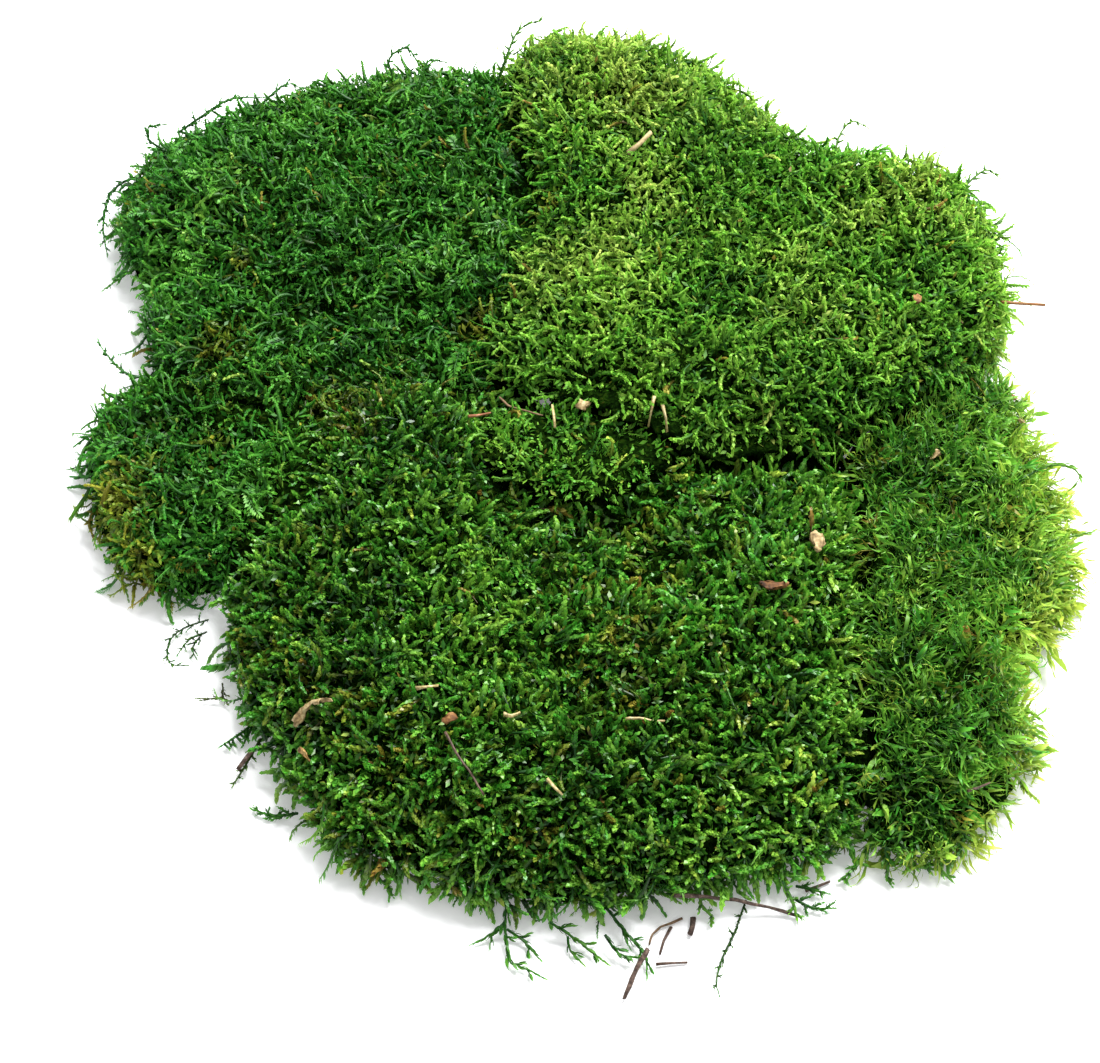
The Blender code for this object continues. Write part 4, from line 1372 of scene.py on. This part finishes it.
CURLS = (
    Curls("back_left_curls", BACK_LEFT, (
        ((-136, 118, 10), (-141.5, 116, 12), (-146.5, 109.5, 12), (-148, 99, 9), (-146, 89, 6)),
        ((-126, 84, 10), (-131.5, 82.5, 10), (-139, 79, 8), (-145.5, 74.5, 6)),
        ((-120, 30, 12), (-125, 32, 14), (-133.5, 36.5, 12), (-140.5, 44.5, 12), (-143, 49, 12)),
        ((-124, 118, 18), (-129, 121, 20), (-134, 123.5, 22), (-134.5, 127, 24), (-129, 127.5, 25)),
        ((-126, 131, 18), (-119.5, 135.5, 20), (-110, 142, 22), (-100, 145, 20)),
        ((-106, 135, 17), (-102, 138.5, 20), (-92.5, 146.5, 24), (-87.5, 147.5, 22)),
        ((-55, 146, 18), (-57, 151, 22), (-59, 156, 26), (-53.5, 159.5, 28), (-49.5, 155, 26)),
        ((-52, 142, 18), (-48.5, 146.5, 24), (-46, 153, 28), (-40.5, 153, 28)),
    ), Sprig((), tone=0.5, side_length=2.2, side_pitch=2.2)),
    Curls("top_right_curls", TOP_RIGHT, (
        ((-24, 148, 22), (-21, 154, 28), (-16.5, 163.5, 32), (-8, 167, 34)),
        ((79, 96, 30), (81, 100.5, 34), (82.5, 109.5, 36), (87, 115.5, 38), (92.5, 114.5, 36)),
        ((117, 93, 24), (122, 98, 28), (129, 104.5, 28), (133.5, 103, 26)),
    ), Sprig((), tone=0.68, leaf=TINY, side_length=2.6, side_pitch=1.8)),
    Curls("right_leafy_curls", RIGHT_LEAFY, (
        ((122, -10, 17), (126.5, -9.5, 20), (134.5, -4.5, 20), (142, -3, 18), (145, -5.5, 16),
         (141.5, -9, 14)),
        ((130, -28, 15), (136, -27, 16), (141.5, -25.5, 16), (147, -23.5, 15)),
        ((119, -16, 16), (123.5, -15, 18), (131, -11.5, 18), (138.5, -8, 18)),
    ), Sprig((), tone=0.75, leaf=Leaf(3.5, 1.1, bend=50.0, rows=3), pitch=1.1)),
    Curls("right_leafy_tips", RIGHT_LEAFY, (
        ((130, -10, 14), (138, -9, 13), (141, -9, 11)),
        ((130, -15, 14), (137, -13, 12), (141, -12, 11)),
        ((132, -18, 13), (138, -16, 12), (141, -16, 11)),
        ((133, -31, 13), (140, -29, 10), (144, -31, 8)),
        ((132, -36, 12), (139, -34, 10), (143, -34, 9)),
        ((131, -40, 12), (139, -37, 9), (143, -38, 7)),
        ((122, -50, 12), (130, -48, 10), (135, -48, 7)),
        ((122, -53, 12), (130, -52, 9), (137, -52, 5)),
        ((122, -55, 12), (129, -55, 8), (132, -57, 5)),
        ((116, -61, 11), (123, -60, 8), (126, -60, 5)),
        ((114, -79, 10), (120, -77, 8), (122, -73, 7)),
        ((114, -82, 10), (124, -79, 7), (128, -76, 6)),
        ((116, -84, 9), (124, -84, 6), (128, -87, 4)),
        ((116, -88, 8), (123, -87, 5), (129, -87, 3)),
        ((114, -90, 8), (121, -91, 5), (124, -92, 3), (123, -95, 1.5)),
        ((102, -103, 11), (109, -100, 8), (115, -99, 5)),
        ((103, -104, 9), (111, -102, 6), (114, -103, 4), (117, -102, 3)),
        ((98, -107, 9), (106, -107, 6), (113, -106, 4), (115, -109, 2)),
        ((96, -111, 9), (103, -113, 5), (108, -113, 3), (107, -115, 2)),
    ), Sprig((), tone=0.78, leaf=Leaf(3.0, 1.1, bend=40.0, rows=3), pitch=0.9, pale=0.9,
             stem=(0.8, 0.8, 0.5))),
    Curls("left_lobe_olive_curls", LEFT_LOBE, (
        ((-129, -9, 8), (-136, -9, 7), (-139, -13, 6), (-138, -17, 4), (-134, -20, 3)),
        ((-128, -10, 8), (-134, -11, 6), (-135, -15, 5), (-132, -19, 4), (-129, -21, 4)),
        ((-126, -20, 8), (-130, -24, 6), (-129, -29, 4), (-126, -32, 3), (-125, -29, 4),
         (-126, -25, 5)),
        ((-115, -27, 8), (-122, -29, 6), (-122, -33, 4), (-117, -36, 3), (-113, -42, 1.5)),
        ((-111, -31, 8), (-115, -34, 5), (-114, -37, 3), (-113, -41, 2)),
    ), Sprig((), tone=0.22, leaf=TINY, pitch=0.3, stem=(0.9, 0.9, 0.5), side_length=2.4,
             side_pitch=1.6, pale=0.95)),
    Curls("left_lobe_curls", LEFT_LOBE, (
        ((-127, 20, 13), (-136, 23, 13), (-138, 26, 14), (-138, 29, 15)),
        ((-129, 18, 12), (-137, 22, 12), (-140, 22, 11), (-141, 19, 9)),
        ((-130, 15, 11), (-138, 19, 11), (-142, 19, 10), (-145, 18, 8)),
        ((-132, 12, 10), (-141, 15, 9), (-144, 14, 8), (-147, 13, 6)),
        ((-132, 7, 9), (-139, 8, 8), (-141, 10, 9), (-143, 10, 9)),
        ((-130, 4, 9), (-139, 2, 8), (-142, 2, 6), (-147, 3, 5)),
        ((-107, -31, 8), (-111, -37, 5), (-109, -40, 3), (-105, -41, 2), (-103, -39, 3)),
    ), Sprig((), tone=0.46, leaf=TINY, pitch=0.3, stem=(0.9, 1.0, 0.6), side_length=2.0,
             side_pitch=2.6, pale=0.85)),
    Curls("front_curls", FRONT, (
        ((-24, -122, 9), (-24.5, -125, 8), (-25, -129, 5), (-23, -134, 3)),
        ((-26.5, -121, 9), (-27, -124.5, 8), (-28.5, -127.5, 5), (-29.5, -130, 3)),
        ((-62, -114, 9), (-61, -119, 5), (-62, -123, 2)),
        ((-54, -119, 8), (-51, -125, 4), (-48, -127, 2), (-48, -130, 1.5)),
        ((-56, -117, 8), (-55, -121, 4), (-55, -125, 2)),
        ((-58, -114, 8), (-64, -117, 4), (-66, -115, 4), (-68, -115, 2)),
        ((-60, -113, 8), (-64, -115, 6), (-67, -113, 5), (-68, -113, 4)),
        ((32, -127, 9), (32, -132, 4), (35, -135, 2), (35, -137, 1.5)),
        ((53, -128, 8), (56, -132, 3), (57, -136, 1.5)),
        ((77, -117, 8), (73, -122, 4), (70, -124, 2), (71, -126, 1.5)),
        ((91, -112, 11), (95, -119, 6), (95, -122, 3), (98, -125, 1.5)),
        ((102, -110, 10), (100, -118, 5), (97, -120, 3), (91, -121, 2)),
        ((83, -114, 10), (87, -121, 5), (92, -122, 3), (95, -122, 2)),
        ((80, -117, 9), (81, -122, 4), (81, -124, 2), (82, -126, 1.5)),
    ), Sprig((), tone=0.55, side_length=2.4, side_pitch=1.8, stem=(1.0, 1.0, 0.7), pale=0.9)),
)


@dataclass(frozen=True)
class Litter:
    """Dead pieces of one look that are caught in the moss, warped as they dried."""

    finish: DeadFinish
    slot: Slot
    nodes: tuple[str, ...]
    bend: float = 0.5          # mm that a piece strays from its smooth shape
    bend_size: float = 7.0     # mm across such a bend
    ragged: float = 0.12       # mm of finer unevenness
    grain: float = 1.2         # mm across it
    cuts: int = 1              # new points on each edge of the smooth shape

    def warped(self, name: str) -> bpy.types.Object:
        """Copy a node's smooth solid and let it warp and crumple.

        Args:
            name: The node.

        Returns:
            The new piece.
        """
        shape = solid_in_mm(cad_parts[name])
        bmesh.ops.subdivide_edges(
            shape, edges=shape.edges, cuts=self.cuts, use_grid_fill=True)
        for vert in shape.verts:
            bent = noise.noise_vector(vert.co / self.bend_size) * self.bend
            rough = noise.noise_vector(vert.co / self.grain) * self.ragged
            place = vert.co + bent + rough
            place.z = max(place.z, GROUND_CLEARANCE)
            vert.co = place * MM
        bmesh.ops.recalc_face_normals(shape, faces=shape.faces)
        return add_shape(name + "_dried", shape)

    def build(self) -> list[bpy.types.Object]:
        """Make the pieces, dress them and let them ride."""
        material = self.finish.material()
        made = []
        for name in self.nodes:
            piece = self.warped(name)
            piece.data.materials.append(material)
            enter(piece, self.slot, name)
            made.append(piece)
        return made


LITTER = (
    Litter(
        DeadFinish("dark_twig_bark", ((0.35, "#2c1f18"), (0.55, "#55433a"), (0.75, "#8a7566")),
                   streak=0.5),
        Slot.TWIG, ("long_twig", "left_twig", "dark_stub", "front_twig"), bend=0.7, ragged=0.25),
    Litter(
        DeadFinish("peeled_pale_twig", ((0.3, "#7d6a45"), (0.6, "#b5a277"), (0.8, "#dccfa8"))),
        Slot.TWIG, ("pale_stick",)),
    Litter(
        DeadFinish("red_twig_bark", ((0.3, "#5a3420"), (0.55, "#9a6644"), (0.75, "#c9a184"))),
        Slot.TWIG, ("red_twig",), bend=0.7, ragged=0.25),
    Litter(
        DeadFinish("dead_needle", ((0.3, "#2f221a"), (0.6, "#5c463a"), (0.8, "#86705f")),
                   streak=0.4, roughness=0.55),
        Slot.NEEDLE,
        ("long_needle", "dark_needle", "brown_needle", "front_needle", "short_needle")),
    Litter(
        DeadFinish("rusty_needle", ((0.3, "#5d3a1e"), (0.6, "#8f6134"), (0.8, "#b38a58")),
                   streak=0.4, roughness=0.55),
        Slot.NEEDLE, ("rust_needle",)),
    Litter(
        DeadFinish("bleached_straw", ((0.3, "#6b5a2f"), (0.5, "#aa9862"), (0.75, "#d8cea2")),
                   streak=0.5, roughness=0.5, shine=0.5),
        Slot.STRAW,
        ("straw_left", "straw_right", "pale_stem", "tan_stem", "thin_stem", "splinter",
         "pale_curl"), bend=0.8, bend_size=5.0, ragged=0.3),
    Litter(
        DeadFinish("brown_straw", ((0.3, "#4a3828"), (0.55, "#7a6046"), (0.8, "#a58c6c")),
                   streak=0.5),
        Slot.STRAW, ("dry_strand", "bent_straw"), ragged=0.2),
    Litter(
        DeadFinish("flaked_bark", ((0.3, "#2e1a0c"), (0.5, "#6a4420"), (0.72, "#a37a48")),
                   relief=0.25),
        Slot.BARK, ("bark_chip", "orange_chip", "rusty_chip", "orange_flake"),
        bend=0.9, bend_size=2.4, ragged=0.45, grain=0.9, cuts=2),
    Litter(
        DeadFinish("papery_bark", ((0.3, "#4a3118"), (0.5, "#9a7740"), (0.72, "#cdb67c")),
                   relief=0.25),
        Slot.BARK, ("rusty_strip",), bend=0.9, bend_size=2.0, ragged=0.5, grain=0.8, cuts=2),
    Litter(
        DeadFinish("dry_leaf_skin", ((0.3, "#3f2e1a"), (0.5, "#8a744c"), (0.72, "#c9b88c")),
                   streak=0.9, relief=0.2),
        Slot.LEAF, ("dry_leaf", "brown_leaf", "leaf_flake", "pale_flake", "brown_flake"),
        bend=1.2, bend_size=2.6, ragged=0.55, grain=0.9, cuts=2),
)


@dataclass
class Studio:
    """The plain floor, the soft light and the camera."""

    aim: tuple[float, float, float] = (-0.00474, -0.04112, 0.025)   # lengths here are in metres
    distance: float = 0.590
    elevation: float = 55.0    # degrees that the camera looks down
    lens: float = 70.0         # mm
    sensor: float = 36.0       # mm wide
    floor_half: float = 3.0
    room_strength: float = 0.7
    lamp_size: tuple[float, float] = (0.9, 0.7)
    lamp_place: tuple[float, float, float] = (0.45, 0.75, 1.15)
    lamp_watts: float = 60.0

    def floor(self) -> None:
        """Lay a pale matt floor."""
        slab = bmesh.new()
        bmesh.ops.create_grid(slab, x_segments=1, y_segments=1, size=self.floor_half)
        made = add_shape("floor", slab)
        material, tree = blank_material("pale_paper")
        paper = add_node(
            tree, "ShaderNodeBsdfPrincipled",
            {"Base Color": linear("#f4f4f6"), "Roughness": 0.9, "Specular IOR Level": 0.1,
             "Emission Color": linear("#ffffff"), "Emission Strength": 0.2})
        add_node(tree, "ShaderNodeOutputMaterial", {"Surface": paper.outputs[0]})
        made.data.materials.append(material)

    def light(self) -> None:
        """Hang one big soft lamp at the back right in a bright room."""
        world = bpy.data.worlds.new("bright_room")
        bpy.context.scene.world = world
        world.use_nodes = True
        back = world.node_tree.nodes["Background"]
        back.inputs["Color"].default_value = linear("#ffffff")
        back.inputs["Strength"].default_value = self.room_strength
        lamp = bpy.data.lights.new("window_light", "AREA")
        lamp.shape = "RECTANGLE"
        lamp.size, lamp.size_y = self.lamp_size
        lamp.energy = self.lamp_watts
        made = add_object("window_light", lamp)
        made.location = self.lamp_place
        made.rotation_euler = (-made.location).to_track_quat("-Z", "Y").to_euler()

    def camera(self) -> None:
        """Stand the camera where it looks down on the heap from the front."""
        lens = bpy.data.cameras.new("camera")
        lens.lens, lens.sensor_width = self.lens, self.sensor
        lens.clip_start = 0.01
        made = add_object("camera", lens)
        tilt = math.radians(self.elevation)
        back = Vector((0, -math.cos(tilt), math.sin(tilt)))
        made.location = Vector(self.aim) + back * self.distance
        made.rotation_euler = (math.pi / 2 - tilt, 0, 0)
        bpy.context.scene.camera = made

    def build(self) -> None:
        """Set up the studio."""
        self.floor()
        self.light()
        self.camera()
        bpy.context.scene.view_settings.view_transform = "Standard"


def main() -> None:
    """Build the heap."""
    logging.basicConfig(level=logging.INFO, format="%(message)s")
    surfaces = {mat.node: Surface(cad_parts[mat.node]) for mat in MATS}
    spots = [v.co for name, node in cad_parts.items() if name not in surfaces
             for v in node.data.vertices]
    litter = KDTree(len(spots))
    for index, spot in enumerate(spots):
        litter.insert((spot.x / MM, spot.y / MM, 0), index)
    litter.balance()
    felt = FeltFinish().material()
    made = []
    finishes = {}
    for mat in MATS:
        pieces = mat.build(surfaces, litter, felt)
        finishes[mat.node] = pieces[0].data.materials[0]
        made += pieces
    made += [curls.build(finishes[curls.mat.node]) for curls in CURLS]
    rng = np.random.default_rng(FROND_SEED)
    green = LeafFinish("loose_frond_leaf", FEET, TIPS_DEEP, roughness=0.45).material()
    for name, sprig in FRONDS.items():
        piece = sprig.form(rng).to_object(name + "_leafy")
        piece.data.materials.append(green)
        enter(piece, Slot.SPRIGS, name)
        made.append(piece)
    noise.seed_set(WARP_SEED)
    for kind in LITTER:
        made += kind.build()
    for piece in made:
        LOG.info("%s: %d faces", piece.name, len(piece.data.polygons))
    LOG.info("%d faces in all", sum(len(piece.data.polygons) for piece in made))
    Studio().build()


if __name__ == "__main__":
    main()
